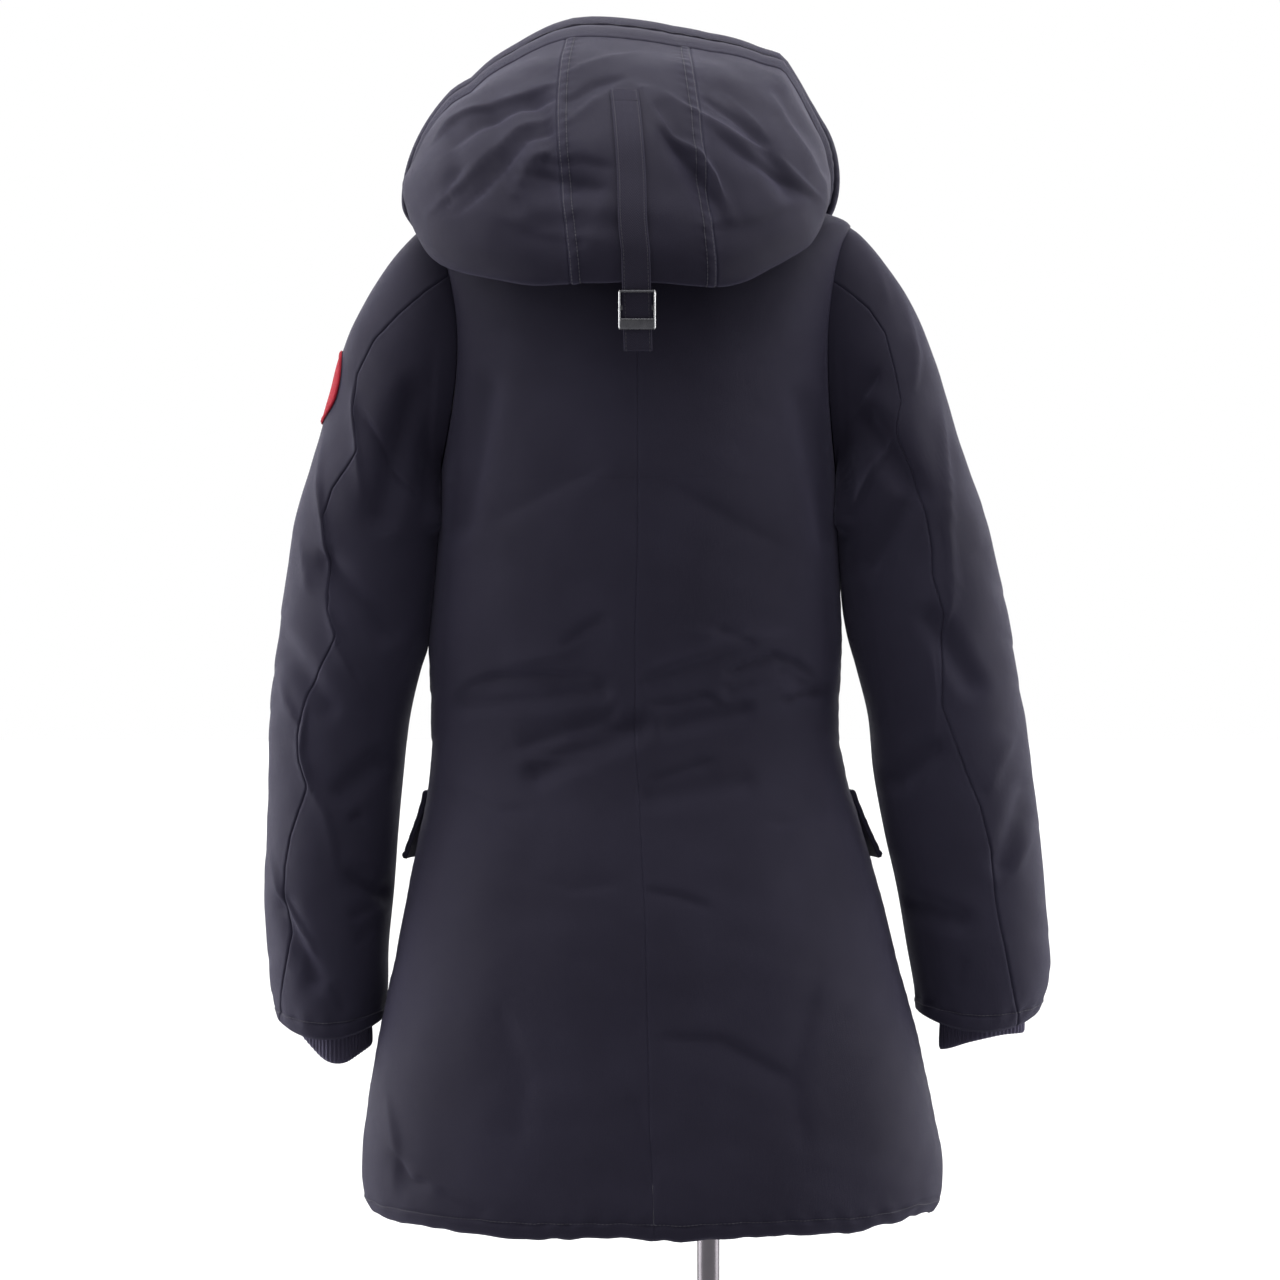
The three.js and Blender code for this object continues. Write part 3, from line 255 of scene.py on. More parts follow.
SLEEVE_CREASES = [
    ([(172, 1300), (176, 1257), (178, 1216), (170, 1176)], 9, 4),
    ([(-160, 1338), (-164, 1264), (-167, 1186), (-167, 1130)], 7, 3),
    ([(241, 1263), (240, 1235), (236, 1206), (231, 1170)], 5, -2.6),
    ([(232, 1239), (213, 1208), (199, 1182), (194, 1175)], 9, 3.6),
    ([(209, 1201), (192, 1178)], 4, -2),
    ([(259, 1254), (268, 1230), (270, 1187), (265, 1146), (262, 1116), (261, 1092)], 5, -2.6),
    ([(287, 1144), (282, 1121), (276, 1089)], 5, -1.8),
    ([(305, 1025), (296, 1001), (286, 985)], 6, -2.4), ([(316, 878), (308, 855), (301, 836)], 6, -2.2),
    ([(262, 1085), (254, 1053), (242, 1030), (226, 1006)], 5, -2.8),
    ([(280, 1000), (285, 962), (278, 936), (265, 915), (259, 891), (256, 863)], 5, -2.8),
    ([(301, 838), (292, 822), (280, 803), (273, 791)], 5, -3),
    ([(287, 791), (285, 770)], 3.5, -1.4),
    ([(213, 838), (232, 829), (245, 822)], 6, 3),
    ([(223, 817), (240, 798)], 7, 2.6),
    ([(245, 906), (235, 912)], 6, 2.6),
    ([(232, 748), (223, 765), (216, 777)], 5, 2.6),
    ([(-184, 1388), (-197, 1359), (-203, 1335)], 5, -2.2),
    ([(-217, 1338), (-223, 1316), (-226, 1288), (-223, 1262)], 5, -2.2),
    ([(-193, 1276), (-182, 1262), (-168, 1242)], 11, 4),
    ([(-206, 1223), (-193, 1203), (-182, 1181), (-171, 1157)], 5, -3),
    ([(-247, 1262), (-248, 1228), (-250, 1181), (-251, 1145), (-254, 1114), (-253, 1086), (-247, 1062)],
     5, -2.4),
    ([(-280, 1167), (-277, 1129)], 10, -1.6),
    ([(-310, 976), (-296, 953), (-286, 926)], 9, -2.2),
    ([(-334, 907), (-313, 869), (-300, 853)], 8, -1.8),
    ([(-236, 1048), (-241, 1008), (-239, 960), (-222, 912)], 8, -1.8),
    ([(-208, 941), (-217, 902)], 6, -1.4),
    ([(-188, 989), (-203, 992)], 6, 2.4),
    ([(-226, 753), (-248, 746)], 6, 2),
    ([(-268, 790), (-262, 762)], 6, 1.6),
    ([(250, 742), (262, 768)], 6, 1.8),
]
ELBOW_CREASES = [
    ([(42, 1096), (6, 1082), (-40, 1092)], 9, 3), ([(40, 1052), (0, 1036), (-44, 1048)], 8, 3.4),
    ([(36, 1014), (-2, 1002), (-48, 1010)], 9, 2.8), ([(20, 1150), (-18, 1166), (-52, 1150)], 11, 2.6),
    ([(24, 900), (-10, 884), (-52, 896)], 10, 2.2), ([(18, 806), (-20, 792), (-66, 800)], 8, 2.6),
    ([(6, 770), (-34, 758), (-72, 768)], 7, 2.4), ([(14, 1230), (-12, 1200), (-20, 1170)], 12, 2),
]
HOOD_CREASES = [
    ([(-12, 1468), (-33, 1443), (-48, 1423), (-60, 1401)], 8, 4.6),
    ([(-4, 1492), (-21, 1462), (-43, 1448), (-56, 1428), (-65, 1403), (-73, 1387)], 5, -3.2),
    ([(-16, 1502), (-35, 1487), (-58, 1475), (-80, 1462), (-105, 1453)], 6, -2.6),
    ([(-48, 1497), (-77, 1480), (-98, 1462), (-115, 1433)], 9, 3),
    ([(-68, 1504), (-90, 1478), (-107, 1450), (-127, 1431), (-144, 1418)], 6, -2.2),
    ([(-58, 1467), (-82, 1448), (-107, 1433), (-137, 1418)], 9, 3.6),
    ([(-105, 1512), (-119, 1482), (-137, 1455), (-149, 1433), (-150, 1413)], 6, -2.2),
    ([(72, 1512), (95, 1504), (110, 1499), (140, 1494), (161, 1487), (177, 1467)], 6, -2.6),
    ([(73, 1497), (102, 1490), (132, 1480), (157, 1460)], 9, 3.8),
    ([(76, 1480), (102, 1470), (120, 1455), (140, 1433), (165, 1411), (177, 1399)], 6, -2.4),
    ([(73, 1467), (95, 1460), (115, 1438), (130, 1418), (152, 1399)], 8, 3.8),
    ([(76, 1450), (88, 1441), (98, 1425), (105, 1408)], 6, -3.2),
    ([(92, 1430), (60, 1424), (30, 1416)], 24, 6.5), ([(88, 1440), (50, 1440), (26, 1434)], 9, 2.4),
    ([(65, 1473), (41, 1495), (19, 1506), (-3, 1507)], 6, -2),
    ([(69, 1490), (41, 1510), (16, 1517)], 9, 2.6),
    ([(69, 1518), (51, 1529), (27, 1539), (2, 1545)], 7, -1.6),
    ([(117, 1390), (85, 1374), (44, 1370)], 14, 2),
    ([(-44, 1381), (-93, 1390), (-125, 1406)], 14, 2),
    ([(150, 1440), (160, 1424), (158, 1404)], 6, 2.4),
]

# How far the hood's rim stands above its oval, from right to left
RIM_LINE = ((-165, -150, -140, -118, -100, -80, -55, -25, 10, 45, 62, 80, 110, 132, 148, 165),
            (0, -6, -4, 9, 1, -2.5, -7, -8, -5, -1, 0, -1.5, -7, -9, -13, -8))
HOOD_CORNERS = (-124, 15), (140, 6.5)  # where the lowest fold of the hood is lifted, and how far
# Where the hem behind is lifted or hangs, over what reach, and how far
HEM_TIPS = (-224, 13, 5), (102, 28, -4.5)
FLAP_HALF = 31
POCKET = dict(top=927, foot=868, start=94.5, end=150, flare=7, wall=4.5)
STRAP = dict(half=11.5, wall=2.4, top=8.1, leaves=4.1)
STRAP_ROWS = ((4.1, 5.2, 6.4, 8.1), (7.5, 10.6, 14, 21.3))
STRAP_TAIL = dict(z=1286, slope=0.2, shift=2)
BUCKLE = dict(top=1334, foot=1303, half=15, post=1.9, front=2.2, behind=2.2, gap=0.4, low_bar=9, mid_bar=4)
PATCH = dict(z=1268, turn=5, r=32, wall=1.6)
FORM_FOOT = 690
POLE = dict(x=-53.7, r=9.5, foot=20.4, top=679.6)
BORE = 9.9


def through(values, at):
    """A smooth curve through the values at whole numbers: Catmull-Rom between each pair."""
    at = np.asarray(at, float)
    last = len(values) - 1
    i = np.clip(np.floor(at).astype(int), 0, last - 1)
    f = at - i
    a, b, c, d = (values[np.clip(i + k, 0, last)] for k in (-1, 0, 1, 2))
    return b + 0.5 * f * (c - a + f * (2 * a - 5 * b + 4 * c - d + f * (3 * b - a - 3 * c + d)))


def smooth(x):
    """0 below 0, 1 above 1, and 3t^2 - 2t^3 between."""
    t = np.clip(x, 0, 1)
    return t * t * (3 - 2 * t)


def bell(x, wide):
    """1 at x = 0, falling off on both sides as exp(-(x / wide)^2)."""
    return np.exp(-((x / wide) ** 2))


def unit(vectors):
    """Each vector divided by its length."""
    return vectors / np.maximum(np.linalg.norm(vectors, axis=-1, keepdims=True), 1e-12)


def cos(deg):
    return np.cos(np.radians(deg))


def sin(deg):
    return np.sin(np.radians(deg))


def ring_point(rows, deg, at):
    """A point on a ring: sines and cosines through its back, side and front points, squared off by box."""
    deg, at = np.broadcast_arrays(np.asarray(deg, float), np.asarray(at, float))
    swell = 1 + through(rows["box"], at) * sin(2 * deg) ** 2
    c, s = cos(deg) * swell, sin(deg) * swell

    def sweep(*keys):
        back, side, front = (through(rows[key], at) for key in keys)
        return side + (back - front) / 2 * c + ((back + front) / 2 - side) * c * c

    x = through(rows["mid"], at) + through(rows["half"], at) * s
    return np.stack([x, sweep("back", "side", "front"), sweep("zb", "zs", "zf")], -1)


def normals(surface, u, v, flip=1):
    """Unit normals out of the cloth, from small steps in both parameters."""
    step = 1e-3
    du = surface(u + step, v) - surface(u - step, v)
    dv = surface(u, v + step) - surface(u, v - step)
    return unit(np.cross(dv, du) * flip)


def pressed(lines, a, b, thin=0.0):
    """How deep troughs press a place in, where q is the squared distance from the line over its squared
    reach: a fold is deep (1 - 0.7 q) exp(-q). With thin above 0 it is a crease, deep exp(-1.6 sqrt(q))
    with a crisp middle, steep on the right of the line as it runs and gentle on its left, shallower and
    narrower towards its ends."""
    total = np.zeros_like(a)
    for line, wide, deep in lines:
        points = np.array(line, float)
        legs = np.diff(points, axis=0)
        long = np.hypot(*legs.T)
        nearest = np.full_like(a, np.inf)
        along, turn = np.zeros_like(a), np.zeros_like(a)
        for start, leg, size, before in zip(points, legs, long, np.cumsum(long) - long):
            t = np.clip(((a - start[0]) * leg[0] + (b - start[1]) * leg[1]) / size**2, 0, 1)
            away = (a - start[0] - t * leg[0]) ** 2 + (b - start[1] - t * leg[1]) ** 2
            closer = away < nearest
            nearest = np.where(closer, away, nearest)
            along = np.where(closer, before + t * size, along)
            turn = np.where(closer, (leg[0] * (b - start[1]) - leg[1] * (a - start[0])) / size, turn)
        ends = 1 - thin * (2 * along / long.sum() - 1) ** 4
        q = nearest / (wide * (0.5 + 0.5 * ends)) ** 2
        if thin:
            q = q / (0.95 + 0.5 * np.tanh(turn / 2)) ** 2
            total += deep * ends * np.exp(-1.6 * (np.sqrt(q + 0.03) - 0.17))
        else:
            total += deep * (1 - 0.7 * q) * np.exp(-q)
    return total


def uneven(p, size, seed):
    """A slow unevenness from -1 to 1: the mean of seven sine waves in set directions, about size long."""
    draw = np.random.default_rng(seed)
    ways = unit(draw.normal(size=(7, 3))) / size * draw.uniform(0.7, 1.5, (7, 1))
    phases = draw.uniform(0, 2 * np.pi, 7)
    return np.sin(p @ (2 * np.pi * ways.T) + phases).mean(-1) * 1.6


def body_base(deg, at):
    """The coat's smooth body."""
    return ring_point(BODY, deg, at)


def armhole_at(deg, side):
    """The armhole's edge, at an angle counted from the shoulder point: backwards positive, underarm 180."""
    reach = (SHOULDER - UNDERARM) / 2
    round_ = np.where(sin(deg) > 0, ARMHOLE_BACK[side], ARMHOLE_FRONT)
    return ARM_MIDDLE + reach * cos(deg), 90 - round_ * sin(deg)


def panel_edge(at, to_back, side):
    """The side seam or the armhole, as a turn."""
    c = (at - ARM_MIDDLE) / ARM_REACH
    s = np.sqrt(np.clip(1 - c * c, 0, None))
    seam = np.degrees(SEAM / 2 / 130)
    if to_back:
        return 90 - seam - (ARMHOLE_BACK[side] + 0.015) * s
    return 90 + seam + (ARMHOLE_FRONT + 0.015) * s


def coat_side(side, y, z):
    """X of the coat's side at a place below the armhole."""
    at = np.interp(z, BODY["zs"][: UNDERARM + 2], np.arange(UNDERARM + 2))
    middle = through(BODY["side"], at)
    depth = np.where(y > middle, through(BODY["back"], at) - middle, middle - through(BODY["front"], at))
    c = np.minimum(np.abs(y - middle) / depth, 1)
    half = through(BODY["half"], at) * np.sqrt(1 - c * c)
    return side * through(BODY["mid"], at) + half * (1 + 2.2 * through(BODY["box"], at) * c * c)


def sleeve_ring(name, deg, at):
    """A point round the arm below the armhole: an oval from its outer and inner x and its depth."""
    rows = SLEEVES[name]
    out, in_ = through(rows["out"], at), through(rows["in"], at)
    side = 1 if name == "left" else -1
    dip = SLEEVE_HEM_DIP * smooth(at - (len(rows["z"]) - 2)) * sin(deg) ** 2
    x = side * ((out + in_) / 2 + (out - in_) / 2 * cos(deg))
    y = through(rows["y"], at) + through(rows["deep"], at) * sin(deg)
    return np.stack([x, y, through(rows["z"], at) - dip], -1)


def sleeve_base(name):
    """A smooth sleeve: a cubic from the armhole out and down to the first ring, then ring to ring, kept just
    clear of the coat's side."""
    side = 1 if name == "left" else -1

    def surface(deg, at):
        deg, at = np.broadcast_arrays(np.asarray(deg, float), np.asarray(at, float))
        row, turn = armhole_at(deg, side)
        start = body_base(side * turn, row)
        end = sleeve_ring(name, deg, np.zeros_like(at))
        along = unit(sleeve_ring(name, deg, np.full_like(at, 0.5)) - end)
        c, s = cos(deg), sin(deg)
        out = unit(np.stack([np.full_like(c, side * 0.9), 0.32 * s, -0.4 - 0.36 * c], -1))
        span = np.linalg.norm(end - start, axis=-1)
        f = np.minimum(at, 1)
        weights = 1 - 3 * f**2 + 2 * f**3, 3 * f**2 - 2 * f**3
        leave, arrive = span * (0.95 - 0.1 * c) * (f - 2 * f**2 + f**3), span * 1.05 * (f**3 - f**2)
        cap = start * weights[0][..., None] + end * weights[1][..., None]
        cap = cap + out * leave[..., None] + along * arrive[..., None]
        p = np.where((at >= 1)[..., None], sleeve_ring(name, deg, np.maximum(at - 1, 0)), cap)
        clear = coat_side(side, p[..., 1], p[..., 2]) + REST_CLEAR
        x = side * p[..., 0]
        drawn = SHOULDER_DRAWN[name] * bell(p[..., 2] - DRAWN_IN_AT, 50)
        x = x - drawn * smooth(c * 2) * smooth(at * 3)
        hug = smooth((-c - 0.72) / 0.2) * smooth((p[..., 2] - 1140) / 12) * smooth(at * 12)
        x = x + hug * (clear - x) * (x > clear)
        kept = (x + clear + np.sqrt((x - clear) ** 2 + 1.2)) / 2
        p[..., 0] = side * (x + smooth((1192 - p[..., 2]) / 14) * (kept - x))
        return p

    return surface


def sleeve(name, fine=True):
    """The sleeve pressed in by its folds, and its creases where fine. Those of the back come again on
    the front, mirrored, lower and shallower."""
    side = 1 if name == "left" else -1
    base = sleeve_base(name)

    def surface(deg, at):
        p = base(deg, at)
        x, y, z = p[..., 0], p[..., 1], p[..., 2]
        along = smooth(at * 2.5) * smooth((SLEEVE_END - at) / 0.8)
        behind, before = smooth(sin(deg) * 2.2) * along, smooth(-sin(deg) * 2.2) * along
        depth = behind * pressed(SLEEVE_FOLDS, x, z) + 0.8 * before * pressed(SLEEVE_FOLDS, -x, z - 22)
        if fine:
            free = smooth((cos(deg) + 0.98) / 0.4) * smooth((0.97 - cos(deg)) / 0.3)
            depth = depth + 1.25 * free * behind * pressed(SLEEVE_CREASES, x, z, 0.8)
            depth = depth + 0.8 * free * before * pressed(SLEEVE_CREASES, -x, z - 14, 0.8)
            outside = smooth(cos(deg) * 2.4 - 0.9) * along
            depth = depth + 0.3 * outside * pressed(ELBOW_CREASES, y, z + 10 * side, 0.8)
            away = smooth(cos(deg) * 2 + 1)
            depth = depth + along * away * (0.9 * uneven(p, 80, 11 + side) + 0.3 * uneven(p, 34, 15 + side))
        return p - depth[..., None] * normals(base, deg, at, side)

    return surface


def hood_base(deg, at):
    """The hood's smooth form: its rings, leaning by skew, its lowest fold hanging by sag and lifted at its
    corners, and its rim along its own line."""
    deg, at = np.broadcast_arrays(np.asarray(deg, float), np.asarray(at, float))
    p = ring_point(HOOD, deg, at)
    c = cos(deg)
    behind = (c - 0.12) / 0.88
    to_back = (behind + np.hypot(behind, 0.1)) / 2
    p[..., 0] += through(HOOD["skew"], at) * c
    p[..., 2] -= through(HOOD["sag"], at) * to_back * (1 - to_back)
    x = p[..., 0]
    corners = sum(lift * bell(x - corner, 38) for corner, lift in HOOD_CORNERS)
    p[..., 2] += corners * smooth((at - 1.5) / 1.3) * smooth((7 - at) / 3) * smooth(c * 4)
    p[..., 2] += smooth((at - 8.6) / 1.4) * smooth(c * 3 + 1) * np.interp(x, *RIM_LINE)
    return p


def strap_middle(at):
    """X of the strap's middle at a ring of the hood."""
    curve = np.polyfit(*STRAP_ROWS, 3)
    return np.polyval(curve, at)


def hood(deg, at):
    """The hood pressed in by its folds and creases. Ridges keep clear of the strap."""
    deg, at = np.broadcast_arrays(np.asarray(deg, float), np.asarray(at, float))
    p = hood_base(deg, at)
    x, z = p[..., 0], p[..., 2]
    on_top = smooth(cos(deg) * 2.5)
    depth = 0.45 * pressed(HOOD_FOLDS, x, z) * smooth((at - 3.6) / 1.2) * smooth((9.9 - at) / 0.8) * on_top
    to_brim = smooth((9.95 - at) / 0.5)
    fine = 1.15 * pressed(HOOD_CREASES, x, z, 0.8) * smooth((at - 3.4) / 0.8) * to_brim * on_top
    fine = fine + (0.9 * uneven(p, 70, 21) + 0.4 * uneven(p, 32, 22)) * smooth(at - 1.5) * to_brim
    beside = np.abs(x - strap_middle(at))
    under_strap = smooth((at - 3.8) / 0.4) * smooth((8.5 - at) / 0.3) * smooth((20 - beside) / 7)
    fine = fine + under_strap * (cos(deg) > 0) * (np.maximum(fine, 0.2) - fine)
    return p - (depth + fine)[..., None] * normals(hood_base, deg, at)


def hood_turn(x, at):
    """The turn at which a ring of the hood reaches x."""
    share = (x - through(HOOD["mid"], at)) / through(HOOD["half"], at)
    return np.degrees(np.arcsin(np.clip(share, -0.98, 0.98)))


def body_row(z):
    """The ring of the coat at a height on its side."""
    fine = np.linspace(0, UNDERARM, 1601)
    return np.interp(z, through(BODY["zs"], fine), fine)


# Grids: how a panel's columns and rows are spaced

def across(surface, low, high, v, middle, near=EDGE_STEPS):
    """Columns of a panel, a row for each v: steps in millimetres beside both edges, equal steps between."""
    low, high, v = (np.broadcast_to(np.asarray(x, float), np.shape(v))[:, None] for x in (low, high, v))
    step = 0.02 * np.sign(high - low)
    low_speed = np.linalg.norm(surface(low + step, v) - surface(low, v), axis=-1) / 0.02
    high_speed = np.linalg.norm(surface(high, v) - surface(high - step, v), axis=-1) / 0.02
    left = low + np.sign(step) * near / low_speed
    right = high - np.sign(step) * near[::-1] / high_speed
    share = np.linspace(0, 1, middle + 1)[1:-1]
    return np.hstack([left, left[:, -1:] + (right[:, :1] - left[:, -1:]) * share, right])


def distances(p):
    """Millimetres over the cloth from the first column, the last column, the first row and the last row."""
    sideways = np.cumsum(np.linalg.norm(np.diff(p, axis=1, prepend=p[:, :1]), axis=-1), axis=1)
    upwards = np.cumsum(np.linalg.norm(np.diff(p, axis=0, prepend=p[:1]), axis=-1), axis=0)
    return sideways, sideways[:, -1:] - sideways, upwards, upwards[-1:] - upwards


def seam_relief(edge, along, stitch=TOPSTITCH, seed=0):
    """Height of the cloth beside a seam: it rolls down into the seam, swells up to the stitches, which
    press it in, and puckers across them with uneven spacing."""
    wander = 3.1 * np.sin(along / 37 + seed) + 1.7 * np.sin(along / 14.3 + 2 * seed)
    pucker = 0.28 * np.sin((along + wander) * 2 * np.pi / 11) * bell(edge - stitch, 5)
    roll = -1.3 * bell(edge, 1.5)
    swell = 0.35 * bell(edge - stitch / 2, stitch / 3)
    return roll + swell - 0.5 * bell(edge - stitch, 0.8) + pucker


def hem_relief(edge, along, stitch, seed=0):
    """Height of a turned-up edge: rounded at the fold, thicker up to its stitches, with leaning puckers."""
    wander = 6 * np.sin(along / 61 + seed) + 3 * np.sin(along / 23 + 2 * seed)
    lean = np.sin((along + 0.5 * edge + wander) * 2 * np.pi / 19)
    pucker = 0.8 * lean * bell(edge - stitch, 7) * (0.6 + 0.4 * np.sin(along / 47 + seed))
    roll = -2 * bell(edge, 1.8)
    return roll + 0.6 * smooth((stitch - edge) / 2.5) - 0.6 * bell(edge - stitch, 0.9) + pucker


# Meshes

def show(name, body_points, faces, material, uv=None, wear_and_painted_light=None):
    """A mesh object of points in millimetres, set in the part's frame, with each point's map and its layer of
    wear and painted light and shade.
    """
    points = (np.asarray(body_points, float).reshape(-1, 3) + [CENTRE, 0, 0]) / 1000
    groups = faces if isinstance(faces, (list, tuple)) else [faces]
    faces = [np.asarray(group, np.int32) for group in groups]
    corners = np.concatenate([group.ravel() for group in faces])
    sizes = np.concatenate([np.full(len(group), group.shape[1]) for group in faces])
    mesh = bpy.data.meshes.new(name)
    mesh.vertices.add(len(points))
    mesh.vertices.foreach_set("co", points.astype(np.float32).ravel())
    mesh.loops.add(len(corners))
    mesh.loops.foreach_set("vertex_index", corners)
    mesh.polygons.add(len(sizes))
    mesh.polygons.foreach_set("loop_start", (np.cumsum(sizes) - sizes).astype(np.int32))
    mesh.polygons.foreach_set("use_smooth", np.full(len(sizes), True))
    if uv is not None:
        mesh.uv_layers.new(name="cloth").data.foreach_set("uv", np.asarray(uv, np.float32)[corners].ravel())
    if wear_and_painted_light is not None:
        # a layer of real wear together with painted light and shade, which the cloth's colour reads
        wear_and_light_layer = mesh.attributes.new("wear_and_painted_light", "FLOAT", "POINT")
        wear_and_light_layer.data.foreach_set("value", np.asarray(wear_and_painted_light, np.float32).ravel())
    mesh.update(calc_edges=True)
    mesh.validate()
    mesh.materials.append(material)
    shown = bpy.data.objects.new(name, mesh)
    bpy.context.scene.collection.objects.link(shown)
    return shown


def wall_faces(rows, cols, wrap, turned):
    """Quads of a closed wall: an outer grid, the same grid inside it, and its edges."""
    index = np.arange(2 * rows * cols).reshape(2, rows, cols)
    if wrap:
        index = np.concatenate([index, index[:, :, :1]], axis=2)
    outer, inner = index

    def quads(a, b, c, d):
        return np.stack([a.ravel(), b.ravel(), c.ravel(), d.ravel()], -1)

    parts = [
        quads(outer[:-1, :-1], outer[1:, :-1], outer[1:, 1:], outer[:-1, 1:]),
        quads(inner[:-1, :-1], inner[:-1, 1:], inner[1:, 1:], inner[1:, :-1]),
        quads(outer[0, :-1], outer[0, 1:], inner[0, 1:], inner[0, :-1]),
        quads(outer[-1, :-1], inner[-1, :-1], inner[-1, 1:], outer[-1, 1:]),
    ]
    if not wrap:
        parts.append(quads(outer[:-1, 0], inner[:-1, 0], inner[1:, 0], outer[1:, 0]))
        parts.append(quads(outer[:-1, -1], outer[1:, -1], inner[1:, -1], inner[:-1, -1]))
    faces = np.concatenate(parts)
    return faces[:, ::-1] if turned else faces


def wall(name, outer, inner, material, wear_and_painted_light=None, wrap=False, turned=False):
    """A closed wall of cloth between two grids of points, with its map in metres over the cloth."""
    rows, cols = outer.shape[:2]
    sideways, _, upwards, _ = distances(outer)
    uv = np.stack([sideways - sideways[:, cols // 2 : cols // 2 + 1], upwards], -1).reshape(-1, 2) / 1000
    wear_and_painted_light = np.zeros((rows, cols)) if wear_and_painted_light is None else wear_and_painted_light
    points = np.concatenate([outer.reshape(-1, 3), inner.reshape(-1, 3)])
    faces = wall_faces(rows, cols, wrap, turned)
    return show(name, points, faces, material, np.tile(uv, (2, 1)), np.tile(wear_and_painted_light.ravel(), 2))


stitch_rows = {}


def sew(group, points, out, lift=0.15):
    """Keeps a line of points on the cloth for the stitches of a group."""
    stitch_rows.setdefault(group, []).append((points + out * lift, out))


def stitches(group, material, thick, pitch=3.3, long=2.5):
    """Every stitch of a group in one mesh: a short thread, thin at its ends, laid along the kept lines at an
    even pitch, each a four-sided tube of four rings."""
    rings = np.array([(-0.5, 0.35), (-0.34, 1), (0.34, 1), (0.5, 0.35)])
    turns = np.radians([0, 90, 180, 270])
    spots, lines, outs = [], [], []
    for points, out in stitch_rows[group]:
        at = np.concatenate([[0], np.cumsum(np.linalg.norm(np.diff(points, axis=0), axis=1))])
        where = np.arange(pitch / 2, at[-1], pitch)

        def along_line(values, run):
            return np.stack([np.interp(run, at, values[:, k]) for k in range(3)], -1)

        spots.append(along_line(points, where))
        lines.append(unit(along_line(points, where + long / 2) - along_line(points, where - long / 2)))
        outs.append(unit(along_line(out, where)))
    spot, line, out = (np.concatenate(x) for x in (spots, lines, outs))
    beside = unit(np.cross(line, out))
    up = np.cross(beside, line)
    along = rings[:, 0] * long
    size = rings[:, 1] * thick
    p = (spot[:, None, None] + along[None, :, None, None] * line[:, None, None]
         + (size[:, None] * np.cos(turns))[None, :, :, None] * beside[:, None, None]
         + (size[:, None] * np.sin(turns))[None, :, :, None] * up[:, None, None])
    first = np.arange(len(spot))[:, None] * 16
    ring = np.array([(i, (i + 1) % 4, 4 + (i + 1) % 4, 4 + i) for i in range(4)])
    template = np.concatenate([ring, ring + 4, ring + 8, [(3, 2, 1, 0), (12, 13, 14, 15)]])
    faces = (first[:, :, None] + template[None]).reshape(-1, 4)
    return show("stitches_" + group, p.reshape(-1, 3), faces, material)


# Materials. Patterns run over the cloth's own map, in metres, or over Object coordinates.

MAP, OBJECT = 2, 3  # outputs of the node that gives a place


def paint(name, base, rough, **sockets):
    """A material with one shader, whose other values are given by the names of its sockets."""
    made = bpy.data.materials.new(name)
    made.use_nodes = True
    shader = made.node_tree.nodes["Principled BSDF"]
    shader.inputs["Base Color"].default_value = (*base, 1)
    shader.inputs["Roughness"].default_value = rough
    for key, value in sockets.items():
        shader.inputs[key.replace("_", " ").title().replace("Ior", "IOR")].default_value = value
    return made


def step(made, kind, *inputs, pick=0, **props):
    """Adds a node. Its inputs are set in order, or by name or number where given as a pair, and a socket
    among them is joined."""
    node = made.node_tree.nodes.new("ShaderNode" + kind)
    for key, value in props.items():
        setattr(node, key, value)
    for i, value in enumerate(inputs):
        key, value = value if isinstance(value, tuple) and len(value) == 2 else (i, value)
        if isinstance(value, bpy.types.NodeSocket):
            made.node_tree.links.new(value, node.inputs[key])
        else:
            node.inputs[key].default_value = value
    return node.outputs[pick]


def place(made, pick):
    """Where the surface is, on its own map or in the object."""
    return step(made, "TexCoord", pick=pick)


def maths(made, how, *inputs):
    """One sum, product or sine."""
    return step(made, "Math", *inputs, operation=how)


def blotches(made, size, detail=3.0, pick=OBJECT, stretch=(1, 1, 1)):
    """Noise of about that size, in metres, drawn out along each way by one over its stretch."""
    where = place(made, pick)
    if stretch != (1, 1, 1):
        where = step(made, "Mapping", where, ("Scale", stretch))
    return step(made, "TexNoise", ("Vector", where), ("Scale", 1 / size), ("Detail", detail), pick=0)


def tinted(made, share, dark, light):
    """A colour between two, by a share from 0 to 1."""
    ramp = made.node_tree.nodes.new("ShaderNodeValToRGB")
    made.node_tree.links.new(share, ramp.inputs[0])
    for stop, colour in zip(ramp.color_ramp.elements, (dark, light)):
        stop.color = (*colour, 1)
    return ramp.outputs[0]


def finish(made, colour=None, rough=None, heights=()):
    """Joins a colour, a roughness and bumps, each a height and its size in metres, to the shader."""
    links, shader = made.node_tree.links, made.node_tree.nodes["Principled BSDF"]
    if colour:
        links.new(colour, shader.inputs["Base Color"])
    if rough:
        links.new(rough, shader.inputs["Roughness"])
    for height, size in heights:
        bump = made.node_tree.nodes.new("ShaderNodeBump")
        bump.inputs["Distance"].default_value = size
        links.new(height, bump.inputs["Height"])
        before = shader.inputs["Normal"].links
        if before:
            links.new(before[0].from_socket, bump.inputs["Normal"])
        links.new(bump.outputs[0], shader.inputs["Normal"])
    return made


def threads(made, pitch, lean=0.0):
    """Crossing threads: the sine across times the sine along, at a pitch, with one leaning for a twill."""
    split = made.node_tree.nodes.new("ShaderNodeSeparateXYZ")
    made.node_tree.links.new(place(made, MAP), split.inputs[0])
    u, v = split.outputs[0], split.outputs[1]
    if lean:
        u = maths(made, "ADD", u, maths(made, "MULTIPLY", v, lean))
    waves = [maths(made, "SINE", maths(made, "MULTIPLY", way, 2 * math.pi / pitch)) for way in (u, v)]
    return maths(made, "MULTIPLY", *waves)


